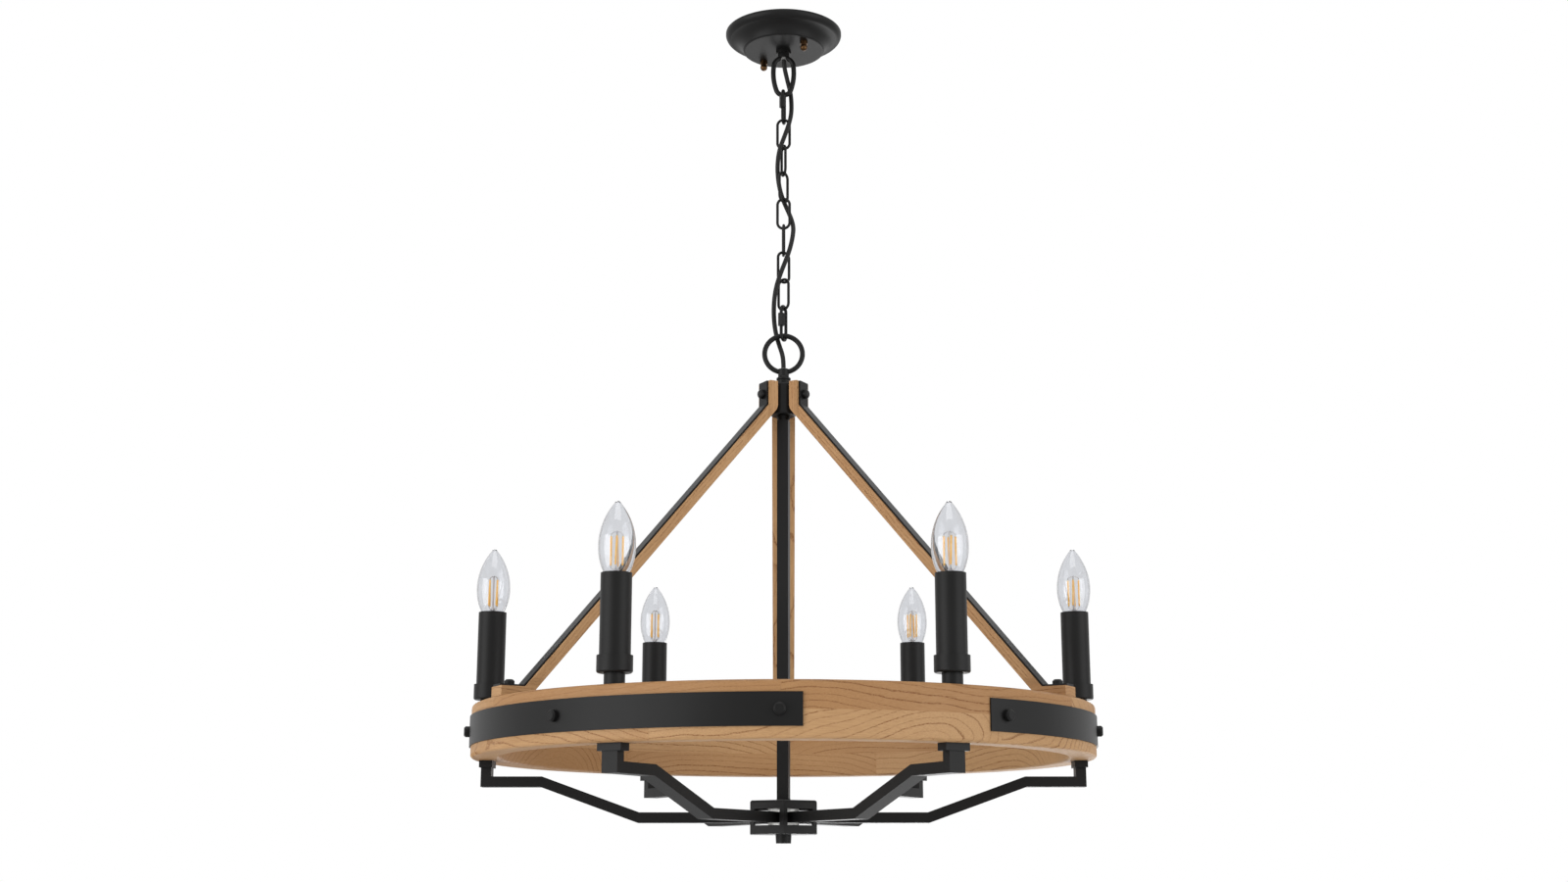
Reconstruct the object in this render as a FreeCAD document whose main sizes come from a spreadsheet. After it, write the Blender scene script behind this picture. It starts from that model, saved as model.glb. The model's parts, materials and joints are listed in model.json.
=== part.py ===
import FreeCAD, Part
import math
import os
from types import SimpleNamespace

import Sketcher

# A wagon wheel chandelier: a two-layer wooden ring with black rim bands, hung by three bent wooden
# struts from a ring, a chain and a ceiling canopy, with six candle lamps on arms from a centre hub.
# The origin is on the ceiling plane above the middle of the wheel, +Z is up, the front is -Y.
# Lengths are in millimetres and angles in degrees.

SIZES = {
    # canopy, its bars, studs and nuts
    "canopy_width": 130.0,
    "canopy_depth": 21.0,
    "canopy_wall": 1.2,
    "canopy_lip_height": 2.5,
    "canopy_shoulder_width": 120.0,
    "canopy_shoulder_depth": 8.0,
    "canopy_shoulder_radius": 7.5,
    "canopy_cove_width": 94.0,
    "canopy_cove_depth": 16.5,
    "canopy_cove_radius": 16.0,
    "canopy_bead_width": 92.0,
    "canopy_bead_radius": 2.6,
    "bar_length": 100.0,
    "bar_width": 20.0,
    "bar_thickness": 1.5,
    "slot_spacing": 70.0,
    "slot_length": 14.0,
    "slot_width": 5.0,
    "eyelet_width": 12.0,
    "eyelet_bore": 8.0,
    "stud_bar_length": 86.0,
    "stud_bar_width": 16.0,
    "stud_bar_turn": -50.0,
    "stud_spacing": 70.0,
    "stud_width": 4.0,
    "stud_head_width": 8.0,
    "stud_head_height": 1.2,
    "stud_reach": 6.0,
    "ball_nut_width": 8.5,
    "ball_nut_height": 3.5,
    "ball_neck_width": 6.0,
    "ball_neck_height": 1.2,
    "ball_width": 8.0,
    "fit_clearance": 0.2,
    # nipple through the canopy and the loop screwed on it
    "canopy_nipple_width": 10.0,
    "canopy_nipple_rise": 9.0,
    "canopy_nipple_reach": 6.0,
    "lock_nut_width": 14.0,
    "lock_nut_height": 4.0,
    "collar_width": 16.5,
    "collar_height": 3.8,
    "loop_neck_width": 12.7,
    "loop_neck_height": 4.0,
    "loop_wire": 5.5,
    "loop_width": 28.5,
    "loop_start": 5.0,
    "loop_end_radius": 8.5,
    "loop_top_radius": 11.0,
    "loop_widest_rise": 7.3,
    "terminal_length": 14.0,
    "terminal_width": 24.0,
    "terminal_height": 10.0,
    "terminal_offset": 20.0,
    "terminal_screw_width": 3.2,
    "terminal_screw_spacing": 7.5,
    "terminal_screw_depth": 4.0,
    # cord and its bushings
    "cord_width": 5.0,
    "bushing_width": 6.8,
    "bushing_height": 4.5,
    "bushing_lip": 1.0,
    # chain and quick links
    "link_play": 0.2,
    "link_wire": 3.0,
    "link_inner_length": 31.3,
    "link_width": 16.5,
    "quick_wire": 3.5,
    "quick_length": 41.5,
    "quick_width": 15.5,
    "quick_nut_width": 6.5,
    "quick_nut_length": 14.0,
    "quick_gap": 7.0,
    "quick_gap_inset": 2.0,
    "top_nut_drop": 9.7,
    "bottom_nut_drop": 11.0,
    "top_quick_turn": 260.0,
    "bottom_quick_turn": 245.0,
    # hanging ring, washer, strut hub
    "ring_wire": 5.5,
    "ring_width": 46.5,
    "boss_width": 11.8,
    "boss_rise": 5.9,
    "boss_length": 10.0,
    "boss_foot_width": 14.0,
    "boss_foot_height": 2.5,
    "boss_foot_radius": 3.3,
    "washer_width": 15.4,
    "washer_height": 1.8,
    "hub_neck_width": 13.0,
    "hub_neck_height": 5.7,
    "hub_width": 28.0,
    "hub_height": 34.5,
    "hub_edge_radius": 2.0,
    "hub_nipple_width": 8.0,
    "hub_nipple_bore": 5.6,
    "hub_nut_width": 14.3,
    "hub_nut_height": 3.3,
    "hub_nut_tip_width": 12.9,
    "hub_nut_tip_height": 2.2,
    # struts, straps and their bolts
    "strut_width": 25.0,
    "strut_thickness": 9.5,
    "strut_head_height": 25.5,
    "strut_drop": 312.6,
    "strut_foot_radius": 293.5,
    "strut_end_radius": 318.0,
    "strut_bend_radius": 12.0,
    "strap_width": 17.0,
    "strap_thickness": 2.0,
    "strut_turn": -30.0,
    "top_bolt_drop": 13.5,
    "foot_bolt_radius": 305.0,
    "strut_bolt_head": 10.0,
    "strut_bolt_head_height": 5.0,
    "strut_bolt_width": 4.0,
    "bolt_crown": 1.6,
    "bolt_end_clearance": 1.0,
    "top_bolt_grip": 17.0,
    "foot_bolt_grip": 38.0,
    # wheel, rim bands and their bolts
    "wheel_radius": 320.0,
    "wheel_inner_radius": 292.0,
    "layer_height": 26.0,
    "wheel_edge_radius": 3.0,
    "stave_gap": 0.1,
    "upper_stave_turn": -60.4,
    "lower_stave_turn": -81.9,
    "band_height": 30.0,
    "band_thickness": 1.5,
    "band_turn": -130.6,
    "rim_bolt_step": 40.0,
    "band_end": 20.5,
    "rim_bolt_head": 11.0,
    "rim_bolt_head_height": 5.5,
    "rim_bolt_width": 4.0,
    "rim_bolt_grip": 18.0,
    # stem, lower hub, finial
    "stem_width": 12.0,
    "stem_wall": 1.2,
    "stem_turn": -10.0,
    "stem_length": 400.3,
    "plug_height": 10.0,
    "stem_foot_width": 14.5,
    "stem_foot_height": 2.0,
    "lower_hub_width": 68.0,
    "lower_hub_height": 33.8,
    "lower_hub_wall": 1.5,
    "lower_hub_edge_radius": 2.5,
    "window_width": 30.0,
    "window_height": 16.4,
    "core_width": 31.6,
    "core_bore": 9.0,
    "finial_width": 16.5,
    "finial_tip_width": 15.5,
    "finial_height": 9.0,
    "finial_stud_width": 6.0,
    "finial_stud_length": 9.0,
    # arms under the lamps
    "arm_width": 17.0,
    "arm_height": 10.5,
    "arm_wall": 1.1,
    "arm_start_radius": 16.0,
    "arm_knee_radius": 148.7,
    "arm_elbow_radius": 249.2,
    "arm_rise": 36.2,
    "arm_cap_width": 26.0,
    "arm_cap_depth": 13.5,
    "arm_cap_height": 7.0,
    # candle lamps
    "candle_radius": 306.0,
    "candle_turn": 0.0,
    "candle_nipple_width": 8.0,
    "candle_nipple_bore": 5.5,
    "candle_nipple_drop": 10.0,
    "candle_nipple_rise": 4.0,
    "neck_width": 19.5,
    "neck_height": 10.7,
    "cup_width": 33.5,
    "cup_height": 16.0,
    "cup_wall": 1.5,
    "cup_edge_radius": 2.0,
    "sleeve_width": 29.0,
    "sleeve_wall": 1.5,
    "sleeve_height": 90.0,
    "sleeve_mouth": 25.0,
    "holder_foot_width": 18.0,
    "holder_foot_height": 3.0,
    "holder_stem_width": 12.0,
    "holder_width": 24.4,
    "holder_height": 40.0,
    "seat_clearance": 0.3,
    "bulb_width": 35.0,
    "bulb_widest": 25.0,
    "bulb_visible_height": 67.5,
    "bulb_mouth_width": 23.6,
    "bulb_tip_width": 6.0,
    "bulb_tip_height": 2.0,
    "bulb_neck_width": 14.2,
    "bulb_neck_depth": 8.0,
    "bulb_wall": 0.8,
    "screw_cap_width": 13.8,
    "screw_cap_height": 20.0,
    "cap_contact_width": 5.0,
    "cap_contact_height": 3.5,
    "mount_width": 7.0,
    "mount_tip_width": 3.0,
    "mount_height": 16.0,
    "filament_length": 31.0,
    "filament_width": 1.8,
    "filament_circle": 11.0,
    "filament_plate_width": 14.0,
    "filament_plate_height": 1.0,
}

LINK_TURNS = [0.0, 108.0, 49.0, -8.0, 94.0, 27.0, -37.0]
STRUTS = 3
STAVES = 6
LAMPS = 6
BANDS = 3
RIM_BOLTS = 9
HEXAGON = 6


class Size:
    """A number together with the sheet expression that gives it."""

    def __init__(self, number, text):
        self.number = number
        self.text = text

    def join(self, other, number, sign):
        return Size(number, f"({self.text} {sign} {size(other).text})")

    def __add__(self, other):
        return self.join(other, self.number + size(other).number, "+")

    def __sub__(self, other):
        return self.join(other, self.number - size(other).number, "-")

    def __mul__(self, other):
        return self.join(other, self.number * size(other).number, "*")

    def __truediv__(self, other):
        return self.join(other, self.number / size(other).number, "/")

    def __radd__(self, other):
        return size(other) + self

    def __rsub__(self, other):
        return size(other) - self

    def __rmul__(self, other):
        return size(other) * self

    def __neg__(self):
        return Size(-self.number, f"(0 - {self.text})")


def size(value):
    """A plain number as a Size."""
    return value if isinstance(value, Size) else Size(float(value), repr(float(value)))


def tangent(angle):
    return Size(math.tan(math.radians(angle.number)), f"tan({angle.text})")


def slope(rise, run):
    """The angle whose tangent is rise over run."""
    ratio = rise / run
    return Size(math.degrees(math.atan(ratio.number)), f"(atan({ratio.text}) / 1 deg)")


def square_root(value):
    return Size(math.sqrt(value.number), f"sqrt({value.text})")


# ---------------------------------------------------------------- document, sheet and helpers

doc = FreeCAD.newDocument("WagonWheelChandelier")
sheet = doc.addObject("Spreadsheet::Sheet", "Sizes")
for row, (name, number) in enumerate(SIZES.items(), start=1):
    sheet.set(f"A{row}", name.replace("_", " "))
    sheet.set(f"B{row}", str(number))
    sheet.setAlias(f"B{row}", name)
doc.recompute()
S = SimpleNamespace(**{name: Size(sheet.get(name), f"Sizes.{name}") for name in SIZES})

parts = []


def new_body(label):
    """A body of its own for one sub-part, which its label names."""
    body = doc.addObject("PartDesign::Body", label)
    body.Label = label
    parts.append(body)
    return body


def bind(item, prop, value):
    """Ties one property to the sheet."""
    item.setExpression(prop, size(value).text)


def place(body, z=None, turn=None):
    """Sets a body's height and its turn about the upright axis."""
    if z is not None:
        bind(body, "Placement.Base.z", z)
    if turn is not None:
        bind(body, "Placement.Rotation.Angle", turn)


def origin_part(body, role):
    return next(item for item in body.Origin.OriginFeatures if item.Role == role)


def new_sketch(body, plane="XZ_Plane", name="Profile", right=None, up=None, lift=None, turn=None):
    """A sketch on an origin plane, moved to the right and up within it, lifted off it or turned about Z."""
    sketch = body.newObject("Sketcher::SketchObject", name)
    sketch.AttachmentSupport = (origin_part(body, plane), [""])
    sketch.MapMode = "FlatFace"
    upright = FreeCAD.Vector(0, 0, 1) if plane == "XY_Plane" else FreeCAD.Vector(0, 1, 0)
    sketch.AttachmentOffset = FreeCAD.Placement(FreeCAD.Vector(), FreeCAD.Rotation(upright, 0))
    for axis, value in (("Base.x", right), ("Base.y", up), ("Base.z", lift), ("Rotation.Angle", turn)):
        if value is not None:
            bind(sketch, f"AttachmentOffset.{axis}", value)
    return sketch


def tie(sketch, kind, geometry, point, value):
    """Holds one coordinate of a point, measured from the sketch's origin."""
    index = sketch.addConstraint(Sketcher.Constraint(kind, -1, 1, geometry, point, size(value).number))
    bind(sketch, f"Constraints[{index}]", value)


def arc_through(start, stop, radius):
    """The short arc from start to stop: it turns left for a positive radius, right for a negative one."""
    chord = stop - start
    middle = (start + stop) * 0.5
    left = FreeCAD.Vector(-chord.y, chord.x, 0).normalize()
    reach = math.sqrt(max(radius**2 - (chord.Length / 2) ** 2, 0))
    side = 1 if radius > 0 else -1
    centre = middle + left * (reach * side)
    crown = centre - left * (abs(radius) * side)
    return Part.Arc(start, crown, stop) if side > 0 else Part.Arc(stop, crown, start)


def outline(sketch, corners, closed=True):
    """Lines and arcs through the corners: (x, y), or (x, y, radius) where an arc leaves the corner."""
    points = [FreeCAD.Vector(size(c[0]).number, size(c[1]).number, 0) for c in corners]
    count = len(corners)
    spans = count if closed else count - 1
    ends = []
    for i in range(spans):
        start, stop = points[i], points[(i + 1) % count]
        if len(corners[i]) == 3:
            radius = corners[i][2]
            index = sketch.addGeometry(arc_through(start, stop, size(radius).number))
            ends.append((index, 1, 2) if size(radius).number > 0 else (index, 2, 1))
        else:
            index = sketch.addGeometry(Part.LineSegment(start, stop))
            ends.append((index, 1, 2))
    for i in range(spans if closed else spans - 1):
        this, following = ends[i], ends[(i + 1) % spans]
        sketch.addConstraint(Sketcher.Constraint("Coincident", this[0], this[2], following[0], following[1]))
    for i in range(count):
        index, point = (ends[i][0], ends[i][1]) if i < spans else (ends[-1][0], ends[-1][2])
        tie(sketch, "DistanceX", index, point, corners[i][0])
        tie(sketch, "DistanceY", index, point, corners[i][1])
    for i in range(spans):
        if len(corners[i]) < 3:
            continue
        radius = size(corners[i][2])
        start, stop = points[i], points[(i + 1) % count]
        if (stop - start).Length > abs(radius.number) * 1.9999:
            # a half circle's ends already give its radius, so its centre is held instead
            if abs(stop.y - start.y) < abs(stop.x - start.x):
                tie(sketch, "DistanceY", ends[i][0], 3, corners[i][1])
            else:
                tie(sketch, "DistanceX", ends[i][0], 3, corners[i][0])
        else:
            length = radius if radius.number > 0 else -radius
            held = sketch.addConstraint(Sketcher.Constraint("Radius", ends[i][0], length.number))
            bind(sketch, f"Constraints[{held}]", length)
    return sketch


def rectangle(sketch, left, right, low, high):
    return outline(sketch, [(left, low), (right, low), (right, high), (left, high)])


def circle(sketch, x, y, width):
    """A circle of the given diameter."""
    centre = FreeCAD.Vector(size(x).number, size(y).number, 0)
    radius = size(width) / 2
    index = sketch.addGeometry(Part.Circle(centre, FreeCAD.Vector(0, 0, 1), radius.number))
    tie(sketch, "DistanceX", index, 3, x)
    tie(sketch, "DistanceY", index, 3, y)
    held = sketch.addConstraint(Sketcher.Constraint("Radius", index, radius.number))
    bind(sketch, f"Constraints[{held}]", radius)
    return sketch


def hexagon(sketch, across_flats):
    """A hexagon whose flats face along X and 60 degrees from it."""
    reach = size(across_flats) / 2 / math.cos(math.radians(30))
    turns = [30 + 60 * i for i in range(HEXAGON)]
    return outline(
        sketch,
        [(reach * math.cos(math.radians(a)), reach * math.sin(math.radians(a))) for a in turns],
    )


def feature(body, kind, name, sketch):
    item = body.newObject(f"PartDesign::{kind}", name)
    item.Profile = sketch
    return item


def pad(body, sketch, length, both_ways=False, down=False):
    item = feature(body, "Pad", "Pad", sketch)
    bind(item, "Length", length)
    item.SideType = "Symmetric" if both_ways else "One side"
    item.Reversed = down
    return item


def pocket(body, sketch, length=None, forward=False, both_ways=False):
    """Cuts against the sketch's normal, or along it when forward; right through when no length is given."""
    item = feature(body, "Pocket", "Pocket", sketch)
    if length is None:
        item.Type = "ThroughAll"
    else:
        bind(item, "Length", length)
    item.SideType = "Symmetric" if both_ways else "One side"
    item.Reversed = forward
    return item


def revolve(body, sketch, axis="V_Axis", angle=None, cut=False):
    """Turns a sketch about its own upright or level axis, all round or evenly to both sides of its plane."""
    item = feature(body, "Groove" if cut else "Revolution", "Groove" if cut else "Turned", sketch)
    item.ReferenceAxis = (sketch, [axis])
    if angle is None:
        item.Angle = 360
    else:
        item.Midplane = True
        bind(item, "Angle", angle)
    return item


def around(body, features, count):
    """Repeats features evenly about the body's upright axis."""
    item = body.newObject("PartDesign::PolarPattern", "Around")
    item.Originals = features
    item.Axis = (origin_part(body, "Z_Axis"), [""])
    item.Angle = 360
    item.Occurrences = count
    body.Tip = item
    return item


def fillet(body, radius, is_edge):
    doc.recompute()
    base = body.Tip
    names = [f"Edge{i}" for i, edge in enumerate(base.Shape.Edges, start=1) if is_edge(edge)]
    item = body.newObject("PartDesign::Fillet", "Rounded")
    item.Base = (base, names)
    bind(item, "Radius", radius)
    return item


def pipe(body, profile, spine, corners="Transformed"):
    item = feature(body, "AdditivePipe", "Pipe", profile)
    item.Spine = (spine, [""])
    item.Transition = corners
    return item


def turned(label, corners, z=None, count=None, radius=None, turn=None):
    """A turned piece, or a ring of them about the upright axis at a radius."""
    body = new_body(label)
    item = revolve(body, outline(new_sketch(body, right=radius), corners))
    if count:
        around(body, [item], count)
    place(body, z, turn)
    return body


# ---------------------------------------------------------------- canopy and its fittings

def bar_plate(body, length, width):
    """A flat bar with round ends, under the body's origin plane."""
    straight = (length - width) / 2
    half = width / 2
    plate = outline(
        new_sketch(body, "XY_Plane"),
        [(-straight, -half), (straight, -half, half), (straight, half), (-straight, half, half)],
    )
    return pad(body, plate, S.bar_thickness, down=True)


def make_ceiling_bar():
    body = new_body("ceiling_bar")
    bar_plate(body, S.bar_length, S.bar_width)
    for side in (-1, 1):
        half = S.slot_width / 2
        middle = S.slot_spacing / 2 * side
        run = (S.slot_length - S.slot_width) / 2
        slot = outline(
            new_sketch(body, "XY_Plane", "Slot"),
            [
                (middle - run, -half),
                (middle + run, -half, half),
                (middle + run, half),
                (middle - run, half, half),
            ],
        )
        pocket(body, slot)
    eyelet = circle(new_sketch(body, "XY_Plane", "Eyelet"), 0, 0, S.eyelet_width)
    pad(body, eyelet, S.bar_thickness * 2, down=True)
    pocket(body, circle(new_sketch(body, "XY_Plane", "Bore"), 0, 0, S.eyelet_bore))


def make_stud_bar():
    body = new_body("stud_bar")
    bar_plate(body, S.stud_bar_length, S.stud_bar_width)
    holes = new_sketch(body, "XY_Plane", "Holes")
    circle(holes, 0, 0, S.eyelet_width + S.fit_clearance * 2)
    for side in (-1, 1):
        circle(holes, S.stud_spacing / 2 * side, 0, S.stud_width + S.fit_clearance * 2)
    pocket(body, holes)
    place(body, -S.bar_thickness, S.stud_bar_turn)


def canopy_outline(inset):
    """Half the canopy's section, or that of its inside when inset is the wall's thickness."""
    slant = inset * math.cos(math.radians(45))
    return [
        (0, 0),
        (S.canopy_width / 2 - inset, 0),
        (S.canopy_width / 2 - inset, -S.canopy_lip_height, inset - S.canopy_shoulder_radius),
        (
            S.canopy_shoulder_width / 2 - slant,
            -S.canopy_shoulder_depth + slant,
            S.canopy_cove_radius + inset,
        ),
        (S.canopy_cove_width / 2 - inset, -S.canopy_cove_depth + inset),
        (
            S.canopy_bead_width / 2 - inset,
            -S.canopy_depth + S.canopy_bead_radius,
            inset - S.canopy_bead_radius,
        ),
        (S.canopy_bead_width / 2 - S.canopy_bead_radius, -S.canopy_depth + inset),
        (0, -S.canopy_depth + inset),
    ]


def make_canopy():
    body = new_body("canopy")
    revolve(body, outline(new_sketch(body), canopy_outline(size(0))))
    revolve(body, outline(new_sketch(body, name="Inside"), canopy_outline(S.canopy_wall)), cut=True)
    holes = new_sketch(body, "XY_Plane", "Holes", turn=S.stud_bar_turn)
    circle(holes, 0, 0, S.canopy_nipple_width + S.fit_clearance * 2)
    for side in (-1, 1):
        circle(holes, S.stud_spacing / 2 * side, 0, S.stud_width + S.fit_clearance * 2)
    pocket(body, holes)


def make_canopy_studs():
    """Two studs that hang from the stud bar, with flat heads over it."""
    top = -S.bar_thickness + S.stud_head_height
    foot = -S.canopy_depth - S.stud_reach
    shank = S.stud_width / 2
    turned(
        "canopy_studs",
        [
            (0, top),
            (S.stud_head_width / 2, top),
            (S.stud_head_width / 2, -S.bar_thickness),
            (shank, -S.bar_thickness),
            (shank, foot),
            (0, foot),
        ],
        count=2,
        radius=S.stud_spacing / 2,
        turn=S.stud_bar_turn,
    )


def make_ball_nuts():
    """Ball nuts that clamp the canopy up against the studs."""
    bore = S.stud_width / 2 + S.fit_clearance
    neck = S.ball_neck_width / 2
    ball = S.ball_width / 2
    neck_end = -S.ball_nut_height - S.ball_neck_height
    ball_end = neck_end - square_root(ball * ball - neck * neck) - ball
    turned(
        "canopy_ball_nuts",
        [
            (bore, 0),
            (S.ball_nut_width / 2, 0),
            (S.ball_nut_width / 2, -S.ball_nut_height),
            (neck, -S.ball_nut_height),
            (neck, neck_end, -ball),
            (ball, neck_end - square_root(ball * ball - neck * neck), -ball),
            (0, ball_end),
            (0, -S.stud_reach - S.fit_clearance),
            (bore, -S.stud_reach - S.fit_clearance),
        ],
        z=-S.canopy_depth,
        count=2,
        radius=S.stud_spacing / 2,
        turn=S.stud_bar_turn,
    )


def tube(label, width, bore, low, high, z=None, count=None, radius=None, turn=None):
    """A plain tube with a level top and bottom."""
    corners = [(bore / 2, low), (width / 2, low), (width / 2, high), (bore / 2, high)]
    return turned(label, corners, z=z, count=count, radius=radius, turn=turn)


def make_lock_nut():
    body = new_body("canopy_lock_nut")
    pad(body, hexagon(new_sketch(body, "XY_Plane"), S.lock_nut_width), S.lock_nut_height)
    bore = new_sketch(body, "XY_Plane", "Bore")
    circle(bore, 0, 0, S.canopy_nipple_width + S.fit_clearance * 2)
    pocket(body, bore, forward=True)
    place(body, -S.canopy_depth + S.canopy_wall)


# The loop's centre line is an egg of four arcs. A side arc of radius LOOP_SIDE is centred beyond the
# middle, level with the widest place, and touches the upper arc where
# (side - upper)^2 = (side - half)^2 + rise^2, and the lower arc alike.
LOOP_HALF = (S.loop_width - S.loop_wire) / 2
LOOP_SIDE = (
    LOOP_HALF * LOOP_HALF + S.loop_widest_rise * S.loop_widest_rise - S.loop_top_radius * S.loop_top_radius
) / ((LOOP_HALF - S.loop_top_radius) * 2)
LOOP_FALL = square_root(
    (LOOP_SIDE - S.loop_end_radius) * (LOOP_SIDE - S.loop_end_radius)
    - (LOOP_SIDE - LOOP_HALF) * (LOOP_SIDE - LOOP_HALF)
)
LOOP_TOP = -S.canopy_depth - S.loop_start
LOOP_BOTTOM = (
    LOOP_TOP - S.loop_wire - S.loop_top_radius - S.loop_widest_rise - LOOP_FALL - S.loop_end_radius
)


def make_canopy_loop():
    """A stepped collar with an egg-shaped loop of wire."""
    body = new_body("canopy_loop")
    upper, lower = S.loop_top_radius, S.loop_end_radius
    half, side, rise, drop = LOOP_HALF, LOOP_SIDE, S.loop_widest_rise, LOOP_FALL
    join_up = upper / (side - upper)
    join_down = lower / (side - lower)
    reach_up = (side - half) * join_up
    reach_down = (side - half) * join_down
    top_x, top_z = reach_up, rise * (join_up + 1)
    low_x, low_z = reach_down, -(drop * (join_down + 1))
    spine = new_sketch(body, "XZ_Plane", "Spine")
    outline(
        spine,
        [
            (half, 0, side),
            (top_x, top_z, upper),
            (0, rise + upper, upper),
            (-top_x, top_z, side),
            (-half, 0, side),
            (-low_x, low_z, lower),
            (0, -drop - lower, lower),
            (low_x, low_z, side),
        ],
    )
    wire = circle(new_sketch(body, "XY_Plane", "Wire"), half, 0, S.loop_wire)
    pipe(body, wire, spine)
    top = rise + upper + S.loop_wire / 2 + S.loop_start
    step = top - S.collar_height
    revolve(
        body,
        outline(
            new_sketch(body, name="Collar"),
            [
                (0, top),
                (S.collar_width / 2, top),
                (S.collar_width / 2, step),
                (S.loop_neck_width / 2, step),
                (S.loop_neck_width / 2, step - S.loop_neck_height),
                (0, step - S.loop_neck_height),
            ],
        ),
    )
    thread = new_sketch(body, "XY_Plane", "Thread", lift=top - S.canopy_nipple_reach - S.fit_clearance)
    circle(thread, 0, 0, S.canopy_nipple_width + S.fit_clearance * 2)
    pocket(body, thread, forward=True)
    exit_hole = circle(new_sketch(body, "XY_Plane", "Exit"), 0, 0, S.bushing_width)
    pocket(body, exit_hole, forward=True)
    place(body, -S.canopy_depth - top)


def make_terminal_block():
    body = new_body("terminal_block")
    half = S.terminal_length / 2
    block = new_sketch(body, "XY_Plane")
    rectangle(
        block,
        S.terminal_offset - half,
        S.terminal_offset + half,
        -S.terminal_width / 2,
        S.terminal_width / 2,
    )
    pad(body, block, S.terminal_height, down=True)
    screws = new_sketch(body, "XY_Plane", "Screws", lift=-S.terminal_height)
    for place_in_row in (-1, 0, 1):
        circle(screws, S.terminal_offset, S.terminal_screw_spacing * place_in_row, S.terminal_screw_width)
    pocket(body, screws, S.terminal_screw_depth, forward=True)
    place(body, -S.bar_thickness * 2, S.stud_bar_turn)


# ---------------------------------------------------------------- chain

def racetrack(body, length, width, wire):
    """A wire bent into a long link with round ends, upright in the XZ plane, about its middle."""
    straight = (length - width) / 2
    half = (width - wire) / 2
    spine = new_sketch(body, "XZ_Plane", "Spine")
    outline(spine, [(half, -straight), (half, straight, half), (-half, straight), (-half, -straight, half)])
    section = circle(new_sketch(body, "XY_Plane", "Wire"), half, 0, wire)
    return pipe(body, section, spine)


def hung_from(bottom, upper_wire, lower_wire):
    """The top of a wire that hangs inside another whose outer bottom is given."""
    return bottom + upper_wire + S.link_play + lower_wire


def make_quick_link(label, top, turn, nut_drop):
    """A quick link: a long link with a gap in one leg, which a screwed nut closes."""
    body = new_body(label)
    racetrack(body, S.quick_length, S.quick_width, S.quick_wire)
    leg = (S.quick_width - S.quick_wire) / 2
    gap_top = S.quick_length / 2 - nut_drop - S.quick_gap_inset
    gap = new_sketch(body, "XZ_Plane", "Gap")
    rectangle(gap, leg - S.quick_wire, leg + S.quick_wire, gap_top - S.quick_gap, gap_top)
    pocket(body, gap, S.quick_wire * 2, both_ways=True)
    place(body, top - S.quick_length / 2, turn)
    nut = new_body(f"{label}_nut")
    outside = hexagon(new_sketch(nut, "XY_Plane", right=leg), S.quick_nut_width)
    pad(nut, outside, S.quick_nut_length, down=True)
    bore = new_sketch(nut, "XY_Plane", "Bore")
    circle(bore, leg, 0, S.quick_wire + S.fit_clearance * 2)
    pocket(nut, bore)
    place(nut, top - nut_drop, turn)
    return top - S.quick_length


def make_chain():
    """The quick link under the canopy, the chain and the lower quick link; gives the lowest point."""
    top = hung_from(LOOP_BOTTOM, S.loop_wire, S.quick_wire)
    bottom = make_quick_link("top_quick_link", top, S.top_quick_turn, S.top_nut_drop)
    above = S.quick_wire
    length = S.link_inner_length + S.link_wire * 2
    for number, turn in enumerate(LINK_TURNS, start=1):
        link = new_body(f"chain_link_{number}")
        racetrack(link, length, S.link_width, S.link_wire)
        top = hung_from(bottom, above, S.link_wire)
        place(link, top - length / 2, turn)
        bottom = top - length
        above = S.link_wire
    top = hung_from(bottom, S.link_wire, S.quick_wire)
    return make_quick_link("bottom_quick_link", top, S.bottom_quick_turn, S.bottom_nut_drop)


# ---------------------------------------------------------------- ring, hub and struts

def make_hanging_ring(top):
    """A round ring with a bored boss at its bottom; gives the boss's lower end."""
    body = new_body("hanging_ring")
    centre_line = (S.ring_width - S.ring_wire) / 2
    section = circle(new_sketch(body, "XY_Plane", "Wire"), centre_line, 0, S.ring_wire)
    revolve(body, section)
    boss_top = -S.ring_width / 2 + S.boss_rise
    boss_end = boss_top - S.boss_length
    revolve(
        body,
        outline(
            new_sketch(body, name="Boss"),
            [
                (0, boss_top),
                (S.boss_width / 2, boss_top),
                (S.boss_width / 2, boss_end + S.boss_foot_height, S.boss_foot_radius),
                (S.boss_foot_width / 2, boss_end),
                (0, boss_end),
            ],
        ),
    )
    bore = circle(new_sketch(body, "XY_Plane", "Bore"), 0, 0, S.bushing_width)
    pocket(body, bore)
    thread = new_sketch(body, "XY_Plane", "Thread", lift=boss_end + S.boss_foot_height)
    circle(thread, 0, 0, S.hub_nipple_width + S.fit_clearance * 2)
    pocket(body, thread)
    place(body, top - S.ring_width / 2)
    return top - S.ring_width / 2 + boss_end


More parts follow.
